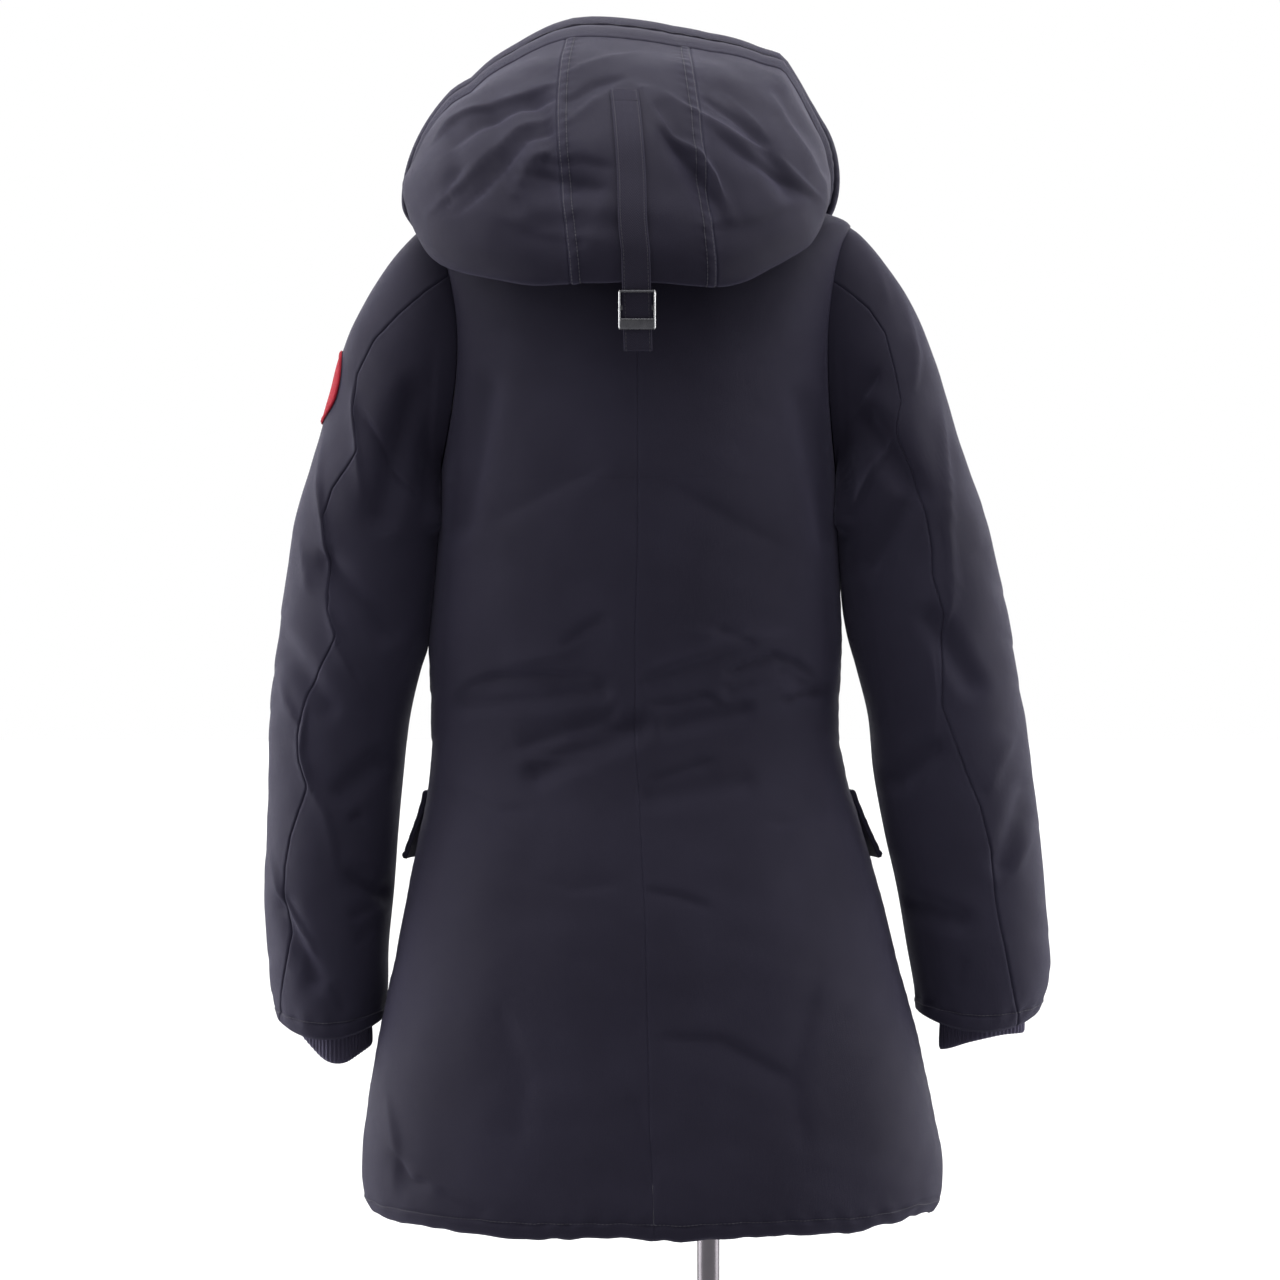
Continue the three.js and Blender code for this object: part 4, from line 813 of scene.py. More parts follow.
def shell_cloth():
    """Plain-woven navy shell: fine threads, soft slubs, slightly paler and rubbed on the seam edges; its wear
    layer also carries painted light on the sleeves and painted shade low on the hood and in the brim's groove.
    """
    made = paint("navy_shell_cloth", (0.02, 0.018, 0.031), 0.62, specular_ior_level=0.1, sheen_weight=0.13,
                 sheen_roughness=0.32, sheen_tint=(0.72, 0.68, 1, 1))
    wear_and_painted_light = step(made, "Attribute", pick=2, attribute_name="wear_and_painted_light")
    cloudy = blotches(made, 0.09, 4)
    # the wear layer lightens the colour: real rubbing on seam edges, plus painted light on the sleeves and
    # painted shade on the hood's lower part and in the brim's groove
    share = maths(made, "ADD", maths(made, "MULTIPLY", cloudy, 0.9), maths(made, "MULTIPLY", wear_and_painted_light, 0.55))
    colour = tinted(made, share, (0.0145, 0.0125, 0.0235), (0.029, 0.0265, 0.0455))
    rough = maths(made, "ADD", maths(made, "MULTIPLY", blotches(made, 0.012), 0.14), 0.55)
    slubs = blotches(made, 0.0016, 2, MAP, (1, 0.16, 1))
    return finish(made, colour, rough, [(threads(made, 0.00052), 0.00005), (slubs, 0.00012)])


def thread_finish():
    """Spun sewing thread, a little paler than the cloth, with a twist."""
    made = paint("sewing_thread", (0.035, 0.032, 0.047), 0.5, sheen_weight=0.2, specular_ior_level=0.3)
    colour = tinted(made, blotches(made, 0.004), (0.026, 0.0235, 0.036), (0.062, 0.058, 0.08))
    return finish(made, colour, None, [(blotches(made, 0.0004), 0.0001)])


def rib_knit():
    """Dark knit: its ribs are in the mesh, and its stitches are small crossing waves."""
    made = paint("rib_knit", (0.058, 0.053, 0.085), 0.9, specular_ior_level=0.15, sheen_weight=0.35,
                 sheen_roughness=0.5, sheen_tint=(0.68, 0.64, 0.9, 1))
    colour = tinted(made, blotches(made, 0.014), (0.045, 0.04, 0.066), (0.075, 0.068, 0.11))
    fuzz = blotches(made, 0.0009)
    return finish(made, colour, None, [(threads(made, 0.0017), 0.0002), (fuzz, 0.0002)])


def webbing():
    """Herringbone tape: a twill that leans one way and the other in bands."""
    made = paint("herringbone_tape", (0.022, 0.0195, 0.032), 0.7, specular_ior_level=0.1, sheen_weight=0.12,
                 sheen_tint=(0.72, 0.68, 1, 1))
    split = made.node_tree.nodes.new("ShaderNodeSeparateXYZ")
    made.node_tree.links.new(place(made, MAP), split.inputs[0])
    band = maths(made, "PINGPONG", split.outputs[0], 0.0029)
    diagonal = maths(made, "ADD", band, split.outputs[1])
    weave = maths(made, "SINE", maths(made, "MULTIPLY", diagonal, 2 * math.pi / 0.0014))
    colour = tinted(made, weave, (0.016, 0.014, 0.0245), (0.03, 0.027, 0.045))
    return finish(made, colour, None, [(weave, 0.00018), (blotches(made, 0.0012), 0.0001)])


def red_twill():
    """Plain red twill, slightly faded in places, with its diagonal threads."""
    made = paint("red_twill", (0.34, 0.01, 0.024), 0.75, specular_ior_level=0.1, sheen_weight=0.05)
    share = maths(made, "ADD", maths(made, "MULTIPLY", threads(made, 0.0011, 0.6), 0.2),
                  blotches(made, 0.01))
    colour = tinted(made, share, (0.27, 0.008, 0.02), (0.41, 0.016, 0.034))
    return finish(made, colour, None, [(threads(made, 0.0011, 0.6), 0.00018)])


def slide_metal(name, dark, light):
    """Polished metal of the slide with fine rubbing. It is made twice, as a painted lit copy for the posts and
    a painted shaded copy for the bars.
    """
    made = paint(name, light, 0.26, metallic=1)
    rubbed = blotches(made, 0.0016, 5, stretch=(1, 1, 6))
    rough = maths(made, "ADD", maths(made, "MULTIPLY", rubbed, 0.22), 0.16)
    colour = tinted(made, blotches(made, 0.006), dark, light)
    return finish(made, colour, rough, [(rubbed, 0.00003)])


def jersey():
    """Cream stretched jersey: small knitted loops in columns."""
    made = paint("cream_jersey", (0.63, 0.58, 0.49), 0.9, specular_ior_level=0.2, sheen_weight=0.2)
    colour = tinted(made, blotches(made, 0.03, 5), (0.55, 0.5, 0.42), (0.68, 0.635, 0.55))
    fuzz = blotches(made, 0.0007)
    return finish(made, colour, None, [(threads(made, 0.0013), 0.0001), (fuzz, 0.0001)])


def dark_steel():
    """Satin dark steel with faint cloudy smears and turning lines."""
    made = paint("satin_steel", (0.2, 0.185, 0.2), 0.3, metallic=1)
    smears = blotches(made, 0.05, 5)
    rough = maths(made, "ADD", maths(made, "MULTIPLY", smears, 0.2), 0.2)
    lines = blotches(made, 0.0006, 2, stretch=(0.02, 0.02, 1))
    colour = tinted(made, smears, (0.15, 0.138, 0.15), (0.27, 0.25, 0.27))
    return finish(made, colour, rough, [(lines, 0.000006)])


FLOOR_BOUNCE = (0.3, 0.3, 0.31)  # what the floor gives back to the coat is kept low, as in a large dim room


def pale_floor():
    """Nearly white to the eye, darker in what it gives back."""
    made = paint("pale_floor", (0.9, 0.9, 0.9), 0.8, specular_ior_level=0.1)
    seen = tinted(made, blotches(made, 0.8), (0.88, 0.88, 0.88), (0.92, 0.92, 0.92))
    eye = step(made, "LightPath")
    colour = step(made, "Mix", ("Factor", eye), (6, (*FLOOR_BOUNCE, 1)), (7, seen), pick=2, data_type="RGBA")
    return finish(made, colour)


CLOTH_FINISH, THREAD, RIB, TAPE = shell_cloth(), thread_finish(), rib_knit(), webbing()
RED, JERSEY, STEEL = red_twill(), jersey(), dark_steel()
# one slide metal in two copies: a painted highlight copy and a painted shade copy
PAINTED_LIT_METAL = slide_metal("slide_metal_painted_lit", (0.5, 0.5, 0.51), (0.78, 0.78, 0.79))
PAINTED_SHADED_METAL = slide_metal("slide_metal_painted_shaded", (0.07, 0.07, 0.078), (0.16, 0.16, 0.17))


# Pieces of the coat

def fit(piece, slot, *nodes):
    """Makes a piece part of the coat or the stand."""
    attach(piece, "root")
    if nodes:
        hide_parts(*nodes)
    return piece


def panel_wear(edges):
    """Rubbing on a panel, from how near its edges are."""
    return sum(np.exp(-np.maximum(edge - 1, 0) / 2.5) for edge in edges)


def coat_depth(deg, at, p):
    """How far the coat is pressed in: its folds, creases and slow unevenness."""
    x, y, z = p[..., 0], p[..., 1], p[..., 2]
    back = cos(deg) > 0
    facing = smooth(np.abs(cos(deg)) * 2.2 - 0.25)
    behind = np.where(deg > 0, ARMHOLE_BACK[1], ARMHOLE_BACK[-1])
    turned = (np.abs(deg) - 90) / np.where(back, behind, ARMHOLE_FRONT)
    from_armhole = np.hypot((at - ARM_MIDDLE) / 3, turned) - 1
    clear = smooth(from_armhole / 0.14) * smooth((NECK - 1 - at) / 2)
    folds = np.where(back, pressed(BACK_FOLDS, x, z), pressed(FRONT_FOLDS, x, z)) * facing
    fine = np.where(back, pressed(BACK_CREASES, x, z, 0.8), pressed(FRONT_CREASES, x, z, 0.8)) * facing
    fine = 1.3 * fine + 0.35 * pressed(SIDE_CREASES, y, z, 0.8) * smooth(np.abs(sin(deg)) * 4 - 2.8)
    fine = fine + 0.9 * uneven(p, 110, 3) + 0.35 * uneven(p, 45, 4)
    touching = smooth(np.abs(sin(deg)) * 5 - 3.6) * smooth((z - 1030) / 25)
    return folds + fine * clear * (1 - touching)


def coat_walls(deg, at):
    """Points of the coat's outside and inside, and its normals. The inside keeps clear of the form."""
    deg, at = np.broadcast_arrays(np.asarray(deg, float), np.asarray(at, float))
    p = body_base(deg, at)
    out = normals(body_base, deg, at)
    depth = coat_depth(deg, at, p)[..., None]
    ease = through(BODY["ease"], at)[..., None]
    outside, inside = p - depth * out, p - np.minimum(depth + CLOTH, CLOTH + ease) * out
    hem = smooth((1.6 - at) / 1.6)
    flat = p * [1, 1, 0.2]
    wave = hem * (1.6 * uneven(flat, 95, 5) + 1.3 * uneven(flat, 34, 6) + 0.8 * uneven(flat, 16, 7))
    wave += hem * (cos(deg) > 0) * sum(lift * bell(p[..., 0] - spot, reach) for spot, reach, lift in HEM_TIPS)
    outside[..., 2] += wave
    inside[..., 2] += wave
    return outside, inside, out


def rows_along(surface, turn, low, high, size, start=(0,), end=(0,)):
    """Rows of a panel: steps in millimetres from its ends, and even ones of about that size between."""
    fine = np.linspace(low, high, 3001)
    p = surface(np.full_like(fine, turn), fine)
    long = np.concatenate([[0], np.cumsum(np.linalg.norm(np.diff(p, axis=0), axis=1))])
    first, last = start[-1], long[-1] - end[-1]
    between = np.linspace(first, last, int((last - first) / size) + 1)[1:-1]
    wanted = np.concatenate([start, between, long[-1] - np.array(end)[::-1]])
    return np.interp(wanted, long, fine)


def body_panels():
    """Four panels from the centre seams to the side seams and armholes, with a stitched, turned-up hem."""
    armhole = ARM_MIDDLE - ARM_REACH * np.cos(np.radians(np.arange(0, 181, 3.5)))
    for half in ("back", "front"):
        size = ROW_STEP[half]
        low_rows = rows_along(body_base, 45, 0, armhole[0], size, HEM_STEPS, (0,))[:-1]
        high_rows = rows_along(body_base, 45, armhole[-1], NECK, size)[1:]
        at = np.concatenate([low_rows, armhole, high_rows])
        gap = np.degrees(SEAM / 2 / through(BODY["half"], at))
        for name, side in SIDES:
            if half == "back":
                low, high = side * gap, side * panel_edge(at, True, side)
            else:
                low, high = side * panel_edge(at, False, side), side * (180 - gap)
            deg = across(body_base, low, high, at, COLUMNS[half])
            outside, inside, out = coat_walls(deg, at[:, None])
            left, right, below, _ = distances(outside)
            at_arm = smooth((at - UNDERARM + 0.1) / 0.2) * smooth((SHOULDER + 0.1 - at) / 0.2)
            middle_seam, outer_seam = (left, right) if half == "back" else (right, left)
            outer_relief = plain_seam(outer_seam, below, side + 3)
            relief = outer_relief + at_arm[:, None] * (soft_join(outer_seam) - outer_relief)
            relief = relief + 0.3 * plain_seam(middle_seam, below, side)
            along = outside[..., 0] * side
            relief = relief + hem_relief(below, along, HEM_STITCH, side)
            outer = outside + relief[..., None] * out
            wear_and_painted_light = np.clip(0.15 * panel_wear([left, right]) + 0.6 * panel_wear([below]), 0, 1)
            piece = wall(f"{half}_{name}_cloth", outer, inside, CLOTH_FINISH, wear_and_painted_light, turned=side < 0)
            fit(piece, "shell", f"{half}_{name}")
            sew("hem", outer[HEM_STITCH_ROW], out[HEM_STITCH_ROW])


def felled_seam(edge, along, seed=0):
    """Height of a felled seam: a flat raised band, puckered, with a row of stitches near both its sides."""
    wander = 3.1 * np.sin(along / 37 + seed) + 1.7 * np.sin(along / 14.3 + 2 * seed)
    pucker = 0.42 * np.sin((along + wander) * 2 * np.pi / 12) * bell(edge - 6, 6)
    rows = bell(edge - 1.6, 0.6) + bell(edge - 8, 0.7)
    return pucker + 0.6 * smooth((9 - edge) / 1.2) - 1.2 * bell(edge, 0.9) - 0.4 * rows


def plain_seam(edge, along, seed=0):
    """Height of the cloth beside an unstitched seam: it rolls down into it and puckers a little."""
    wander = 3 * np.sin(along / 41 + seed) + 2 * np.sin(along / 17 + 2 * seed)
    pucker = 0.16 * np.sin((along + wander) * 2 * np.pi / 13) * bell(edge - 3, 4)
    return pucker - 1.2 * bell(edge, 0.9) + 0.1 * bell(edge - 3, 2)


def soft_join(edge):
    """Height of the cloth beside the armhole, where it rolls over gently into the join."""
    return -0.9 * bell(edge, 5)


def sleeve_panels():
    """Upper and under sleeves, seamed behind and in front of the arm, with a stitched turn-up at the
    wrist. The back seam crosses each row where its distance out matches the table."""
    gap = np.degrees(SEAM / 2 / 58)
    for name, side in SIDES:
        base, surface = sleeve_base(name), sleeve(name)
        at = rows_along(base, 60, 0, SLEEVE_END, ROW_STEP["sleeve"], SEAM_STEPS, HEM_STEPS)
        tries = np.linspace(15, 118, 207)
        p = base(tries, at[:, None])
        off = side * p[..., 0] - np.interp(p[..., 2], BACK_SEAMS[name]["z"], BACK_SEAMS[name]["out"])
        behind = np.array([np.interp(0, line[::-1], tries[::-1]) for line in off])
        before = through(SLEEVES[name]["seam_front"], np.maximum(at - 1, 0))
        before = FRONT_SEAM_START + (before - FRONT_SEAM_START) * np.minimum(at, 1)
        spans = ("upper", before + gap, behind - gap), ("under", behind + gap, before + 360 - gap)
        for which, low, high in spans:
            deg = across(base, low, high, at, COLUMNS["sleeve"])
            v = np.broadcast_to(at[:, None], deg.shape)
            p = surface(deg, v)
            own = np.maximum((1 - cos(deg)) / 2, smooth(v / 0.3))[..., None]
            row, turn = armhole_at(deg, side)
            out = unit(normals(body_base, side * turn, row) * (1 - own) + normals(base, deg, v, side) * own)
            left, right, below, above = distances(p)
            relief = plain_seam(left, below, side) + plain_seam(right, below, side + 2) + soft_join(below)
            relief = relief + hem_relief(above, left, HEM_STITCH, side + 7)
            outer = p + relief[..., None] * out
            wear_and_painted_light = np.clip(0.15 * panel_wear([left, right, below]) + 0.6 * panel_wear([above]), 0, 1)
            # painted light: the sleeves are painted paler than the body, from just below the armhole down
            wear_and_painted_light = wear_and_painted_light + SLEEVE_PAINTED_LIGHT * smooth(v / 2.5)
            node = f"{which}_sleeve_{name}"
            piece = wall(node + "_cloth", outer, p - CLOTH * out, CLOTH_FINISH, wear_and_painted_light, turned=side < 0)
            fit(piece, "shell", node)
            sew("sleeves", outer[-HEM_STITCH_ROW - 1], out[-HEM_STITCH_ROW - 1])


def round_patch():
    """A plain round patch: a square grid drawn to a disc, x' = x sqrt(1 - y^2 / 2) and so for y, on the
    outside of the arm, with a raised sewn border."""
    surface = sleeve("left")
    tries = np.arange(0.2, 1.2, 0.002)
    heights = surface(np.full_like(tries, PATCH["turn"]), tries)[:, 2]
    middle = tries[np.argmax(heights <= PATCH["z"])]
    here = surface(PATCH["turn"], middle)
    per_turn = np.linalg.norm(surface(PATCH["turn"] + 1, middle) - here)
    per_row = np.linalg.norm(surface(PATCH["turn"], middle + 0.01) - here) / 0.01
    share = np.linspace(-1, 1, PATCH_GRID)
    a, b = np.meshgrid(share, share)
    x, y = a * np.sqrt(1 - b * b / 2), b * np.sqrt(1 - a * a / 2)
    deg, at = PATCH["turn"] + x * PATCH["r"] / per_turn, middle + y * PATCH["r"] / per_row
    p, out = surface(deg, at), normals(sleeve_base("left"), deg, at)
    r = np.hypot(x, y) * PATCH["r"]
    threads_round = 1 + 0.16 * np.sin(np.arctan2(y, x) * 170)
    border = 0.9 * np.sqrt(np.clip(1 - ((r - PATCH["r"] + 2.1) / 2.1) ** 2, 0, 1)) * threads_round
    high = LIFT + PATCH["wall"] * 0.7 + border - 0.7 * bell(r - PATCH["r"] + 5, 0.8)
    piece = wall("sleeve_patch_twill", p + high[..., None] * out, p + LIFT * out, RED)
    fit(piece, "patch", "sleeve_patch")


def rib_cuffs():
    """Tubes from inside the sleeve to below its edge, with knitted ribs round them: from the sleeve's
    own ring drawn in, to an oval at the foot whose height waves round it."""
    for name, side in SIDES:
        cuff = CUFFS[name]
        base = sleeve_base(name)
        tries = np.arange(1, SLEEVE_END, 0.01)
        row = tries[np.argmax(through(SLEEVES[name]["z"], tries - 1) <= cuff["top"])]

        def surface(deg, f):
            deg, f = np.broadcast_arrays(np.asarray(deg, float), np.asarray(f, float))
            at = np.full_like(deg, row)
            high = sleeve(name, False)(deg, at) - normals(base, deg, at, side) * (CLOTH + cuff["room"])
            wave = cuff["slant"][0] * cos(deg) + cuff["slant"][1] * cos(2 * deg)
            low = np.stack([side * (cuff["x"] + cuff["wide"] * cos(deg)), cuff["y"] + cuff["deep"] * sin(deg),
                            cuff["foot"] + wave], -1)
            share = smooth(f * 1.7)[..., None]
            p = high + (low - high) * share
            p[..., 2] = high[..., 2] + (low[..., 2] - high[..., 2]) * f
            return p

        deg, f = np.meshgrid(np.linspace(0, 360, CUFF_COLUMNS + 1)[:-1], np.linspace(0, 1, CUFF_ROWS))
        p, out = surface(deg, f), normals(surface, deg, f, side)
        ribs = 0.45 * np.cos(np.radians(deg * 56)) - 0.3
        foot = 1.1 * bell((1 - f) * 70, 1.6)
        folds = 1.3 * np.sin(np.radians(deg * 5 + 40 * np.sin(f * 5))) * smooth((f - 0.5) / 0.4)
        outer = p + (ribs - foot + folds)[..., None] * out
        inner = p - (CUFF_WALL - folds)[..., None] * out
        piece = wall(f"cuff_{name}_rib", outer, inner, RIB, wrap=True, turned=side < 0)
        fit(piece, "rib", f"cuff_{name}")


def hood_edge(at, side):
    """The turn of the seam between the hood's centre panel and a side panel."""
    return hood_turn(through(HOOD["pane"], at) + side * through(HOOD["pane_half"], at), at)


def hood_panels():
    """A centre panel, and two side panels that reach round to the front. Its two seams are felled and
    stitched on the centre panel."""
    at = rows_along(hood_base, 20, 0, BRIM - HOOD_GAP, ROW_STEP["hood"], (0, 1.5, 3), SEAM_STEPS)
    gap = 1.5 * np.degrees(SEAM / 2 / through(HOOD["half"], at))
    spans = (("centre", hood_edge(at, -1) + gap, hood_edge(at, 1) - gap),
             ("left", hood_edge(at, 1) + gap, 180 - gap), ("right", gap - 180, hood_edge(at, -1) - gap))
    for which, low, high in spans:
        deg = across(hood_base, low, high, at, COLUMNS[which], FELL_STEPS)
        v = np.broadcast_to(at[:, None], deg.shape)
        p, out = hood(deg, v), normals(hood_base, deg, v)
        p[..., 2] -= NECK_DROP * smooth(1 - v / 0.12)
        left, right, below, above = distances(p)
        join = felled_seam if which == "centre" else plain_seam
        share = 1 if which == "centre" else 0.6
        relief = 0.6 * plain_seam(above, left, 3) + share * (join(left, below, 1) + join(right, below, 4))
        outer = p + relief[..., None] * out
        if which == "centre":
            for column in (*FELL_ROWS, *(-k - 1 for k in FELL_ROWS)):
                sew("hood", outer[:, column], out[:, column])
        wear_and_painted_light = np.clip(0.9 * panel_wear([left, right]) + 0.5 * panel_wear([above]), 0, 1)
        # painted shade: the hood's lower part, which faces down, is painted darker
        wear_and_painted_light = wear_and_painted_light - 0.35 * smooth((7.5 - v) / 3)
        fit(wall(f"hood_{which}_cloth", outer, p - CLOTH * out, CLOTH_FINISH, wear_and_painted_light), "shell", f"hood_{which}")


def hood_brim():
    """The stiffened edge of the hood: two swelled bands with a deep sewn groove between them."""
    groove = (BRIM + RIM) / 2
    size, edge_rows = ROW_STEP["brim"], SEAM_STEPS[:6]
    half = rows_along(hood_base, 0, BRIM + HOOD_GAP, groove, size, edge_rows, GROOVE_STEPS)
    top = rows_along(hood_base, 0, groove, RIM, size, GROOVE_STEPS, edge_rows)[1:]
    at = np.concatenate([half, top])
    groove_row = len(half) - 1
    gap = 1.5 * np.degrees(SEAM / 2 / through(HOOD["half"], at))
    deg = across(hood_base, gap - 180, 180 - gap, at, COLUMNS["brim"])
    v = np.broadcast_to(at[:, None], deg.shape)
    p, out = hood(deg, v), normals(hood_base, deg, v)
    left, right, below, above = distances(p)
    from_groove = np.abs(below - below[groove_row])
    pucker = 0.4 * np.sin((left + 5 * np.sin(left / 43)) * 2 * np.pi / 12) * bell(from_groove - 4, 4)
    height = 3 * np.abs(np.sin((v - BRIM) * np.pi)) - 5.5 * bell(from_groove, 2.2) + pucker
    height = height + plain_seam(below, left, 4) - 1.6 * bell(above, 1.6)
    height = height - 0.5 * bell(above - 5, 0.8)
    outer = p + height[..., None] * out
    wear_and_painted_light = np.clip(0.5 * panel_wear([below]) + panel_wear([above]), 0, 1)
    # painted shade: the brim's groove is painted darker
    wear_and_painted_light = wear_and_painted_light - 1.4 * bell(from_groove, 2.6)
    fit(wall("hood_brim_cloth", outer, p - 6 * out, CLOTH_FINISH, wear_and_painted_light), "shell", "hood_brim")
    for row in (groove_row - 5, groove_row + 5, len(at) - 6):
        sew("brim", outer[row], out[row])


def storm_flap():
    """A doubled strip over the front opening, from the hem to the brim, stitched along both edges."""
    inner = FLAP_HALF - 14
    between = np.linspace(-inner, inner, COLUMNS["flap"])
    x = np.concatenate([EDGE_STEPS - FLAP_HALF, between, FLAP_HALF - EDGE_STEPS[::-1]])

    def lines(walls, rows, at):
        at = at[:, None]
        return walls(180 - np.degrees(np.arcsin(x[None] / through(rows["half"], at))), at)

    size = ROW_STEP["flap"]
    on_coat = lines(lambda u, v: coat_walls(u, v)[::2], BODY,
                    rows_along(body_base, 180, 0, 25, size, HEM_STEPS))
    on_hood = lines(lambda u, v: (hood(u, v), normals(hood_base, u, v)), HOOD,
                    rows_along(hood_base, 180, 2, BRIM - HOOD_GAP, size, (0,), SEAM_STEPS))
    p, out = (np.concatenate(pair) for pair in zip(on_coat, on_hood))
    left, right, below, above = distances(p)
    relief = seam_relief(left, below, seed=1) + seam_relief(right, below, seed=2)
    relief = relief + hem_relief(below, left, HEM_STITCH, 9) + plain_seam(above, left)
    outer = p + (LIFT + CLOTH + relief)[..., None] * out
    wear_and_painted_light = np.clip(panel_wear([left, right, below]), 0, 1)
    piece = wall("storm_flap_cloth", outer, p + LIFT * out, CLOTH_FINISH, wear_and_painted_light, turned=True)
    fit(piece, "shell", "storm_flap")
    for column in (STITCH_COLUMN, -STITCH_COLUMN - 1):
        sew("storm_flap", outer[:, column], out[:, column])


def pocket_flaps():
    """Flaps on the fronts whose lower edges stand away from the coat, stitched round three sides."""
    low, high = body_row(POCKET["foot"]), body_row(POCKET["top"])
    at = rows_along(body_base, 110, low, high, ROW_STEP["pocket"], SEAM_STEPS, SEAM_STEPS)
    for name, side in SIDES:
        start, end = side * POCKET["start"], side * POCKET["end"]
        deg = across(body_base, start, end, at, COLUMNS["pocket"])
        v = np.broadcast_to(at[:, None], deg.shape)
        p, _, out = coat_walls(deg, v)
        stand = 1.6 * LIFT + POCKET["flare"] * ((high - v) / (high - low)) ** 1.5
        left, right, below, above = distances(p)
        sewn = (left, below), (right, below), (below, left)
        relief = sum(seam_relief(edge, run, seed=i) for i, (edge, run) in enumerate(sewn))
        relief = relief + plain_seam(above, left)
        outer, inner = (p + rise[..., None] * out for rise in (stand + POCKET["wall"] + relief, stand))
        wear_and_painted_light = np.clip(panel_wear([left, right, below]), 0, 1)
        piece = wall(f"pocket_flap_{name}_cloth", outer, inner, CLOTH_FINISH, wear_and_painted_light, turned=side < 0)
        fit(piece, "shell", f"pocket_flap_{name}")
        for column in (STITCH_COLUMN, -STITCH_COLUMN - 1):
            sew("pocket_flaps", outer[STITCH_COLUMN:-1, column], out[STITCH_COLUMN:-1, column])
        inset = slice(STITCH_COLUMN, -STITCH_COLUMN)
        sew("pocket_flaps", outer[STITCH_COLUMN, inset], out[STITCH_COLUMN, inset])


def strap_on_hood(at, aside):
    """The strap's line on the hood, and its outward normals."""
    turn = hood_turn(strap_middle(at) + aside, at)
    out = normals(hood_base, turn, at)
    return hood_base(turn, at) + LIFT * out, out


def strap_below(z, aside):
    """The strap's free end below the hood's lowest fold."""
    z, aside = np.broadcast_arrays(np.asarray(z, float), np.asarray(aside, float))
    start = strap_on_hood(np.array(STRAP["leaves"]), np.array(0.0))[0]
    fall = start[2] - z
    x = start[0] - STRAP_TAIL["shift"] * (fall / (start[2] - STRAP_TAIL["z"])) + aside
    p = np.stack([x, start[1] - STRAP_TAIL["slope"] * fall, z], -1)
    return p, np.broadcast_to(unit(np.array([0, 1, -STRAP_TAIL["slope"]])), p.shape)


def hood_strap():
    """Herringbone tape down the middle of the hood, sewn in a box at its top and along both edges."""
    half, size = STRAP["half"], ROW_STEP["tape"]
    between = np.linspace(-half + 4.4, half - 4.4, COLUMNS["tape"])
    aside = np.concatenate([TAPE_STEPS - half, between, half - TAPE_STEPS[::-1]])[None]
    at = rows_along(hood_base, 3, STRAP["leaves"], STRAP["top"], size, (0,), tuple(TAPE_STEPS))[::-1]
    leave = strap_on_hood(np.array(STRAP["leaves"]), np.array(0.0))[0][2]
    tail = STRAP_TAIL["z"]
    z = np.concatenate([np.arange(leave - 3, tail + 5, -size), tail + TAPE_STEPS[::-1]])
    parts = strap_on_hood(at[:, None], aside), strap_below(z[:, None], aside)
    p, out = (np.concatenate(pair) for pair in zip(*parts))
    left, right, down, up = distances(p)
    edge = np.minimum(left, right)
    ends = np.minimum(down, up)
    box = bell(down - 16, 0.5) + bell(down - 2, 0.5)
    height = STRAP["wall"] - 0.7 * bell(np.minimum(edge, ends), 0.8)
    height = height - 0.35 * bell(edge - 2, 0.5)
    height = height - 0.4 * box - 0.4 * bell(up - 6, 0.6)
    outer = p + height[..., None] * out
    fit(wall("hood_strap_tape", outer, p, TAPE, turned=True), "webbing", "hood_strap")
    for column in (4, -5):
        sew("strap", outer[2:-1, column], out[2:-1, column])
    for run in (2, 16):
        row = int(np.argmin(np.abs(down[:, 0] - run)))
        sew("strap", outer[row, 3:-3], out[row, 3:-3])


def rod(path, wide, deep, steps=20, power=3.0):
    """A closed bar along a path: its section is a superellipse, drawn in towards both ends."""
    path = np.array(path, float)
    t = np.linspace(0, 1, 25)
    axis = path[1] - path[0]
    long = np.linalg.norm(axis)
    ends = np.minimum(t, 1 - t) * long
    round_ = min(wide, deep) / 2
    shrink = np.sqrt(np.clip(1 - (1 - np.minimum(ends / round_, 1)) ** 2, 0, 1)) * 0.97 + 0.03
    turn = np.linspace(0, 2 * np.pi, steps, endpoint=False)
    c, s = np.cos(turn), np.sin(turn)
    section = np.stack([np.sign(c) * np.abs(c) ** (2 / power), np.sign(s) * np.abs(s) ** (2 / power)], -1)
    along = axis / long
    side = unit(np.cross(along, [0, 1, 0]))
    front = np.cross(side, along)
    inset = np.where(shrink < 1, round_ * (1 - shrink), 0)
    size = np.stack([np.maximum(wide / 2 - inset, 0.05), np.maximum(deep / 2 - inset, 0.05)], -1)
    p = (path[0] + axis * t[:, None])[:, None] + (size[:, None, 0, None] * section[None, :, 0, None]) * side
    return p + (size[:, None, 1, None] * section[None, :, 1, None]) * front


def tube_faces(rings, count, first):
    """Quads along a tube and a face over each of its ends."""
    index = first + np.arange(rings * count).reshape(rings, count)
    index = np.hstack([index, index[:, :1]])
    quads = np.stack([index[:-1, :-1], index[:-1, 1:], index[1:, 1:], index[1:, :-1]], -1).reshape(-1, 4)
    return quads, index[:1, :-1][:, ::-1], index[-1:, :-1]


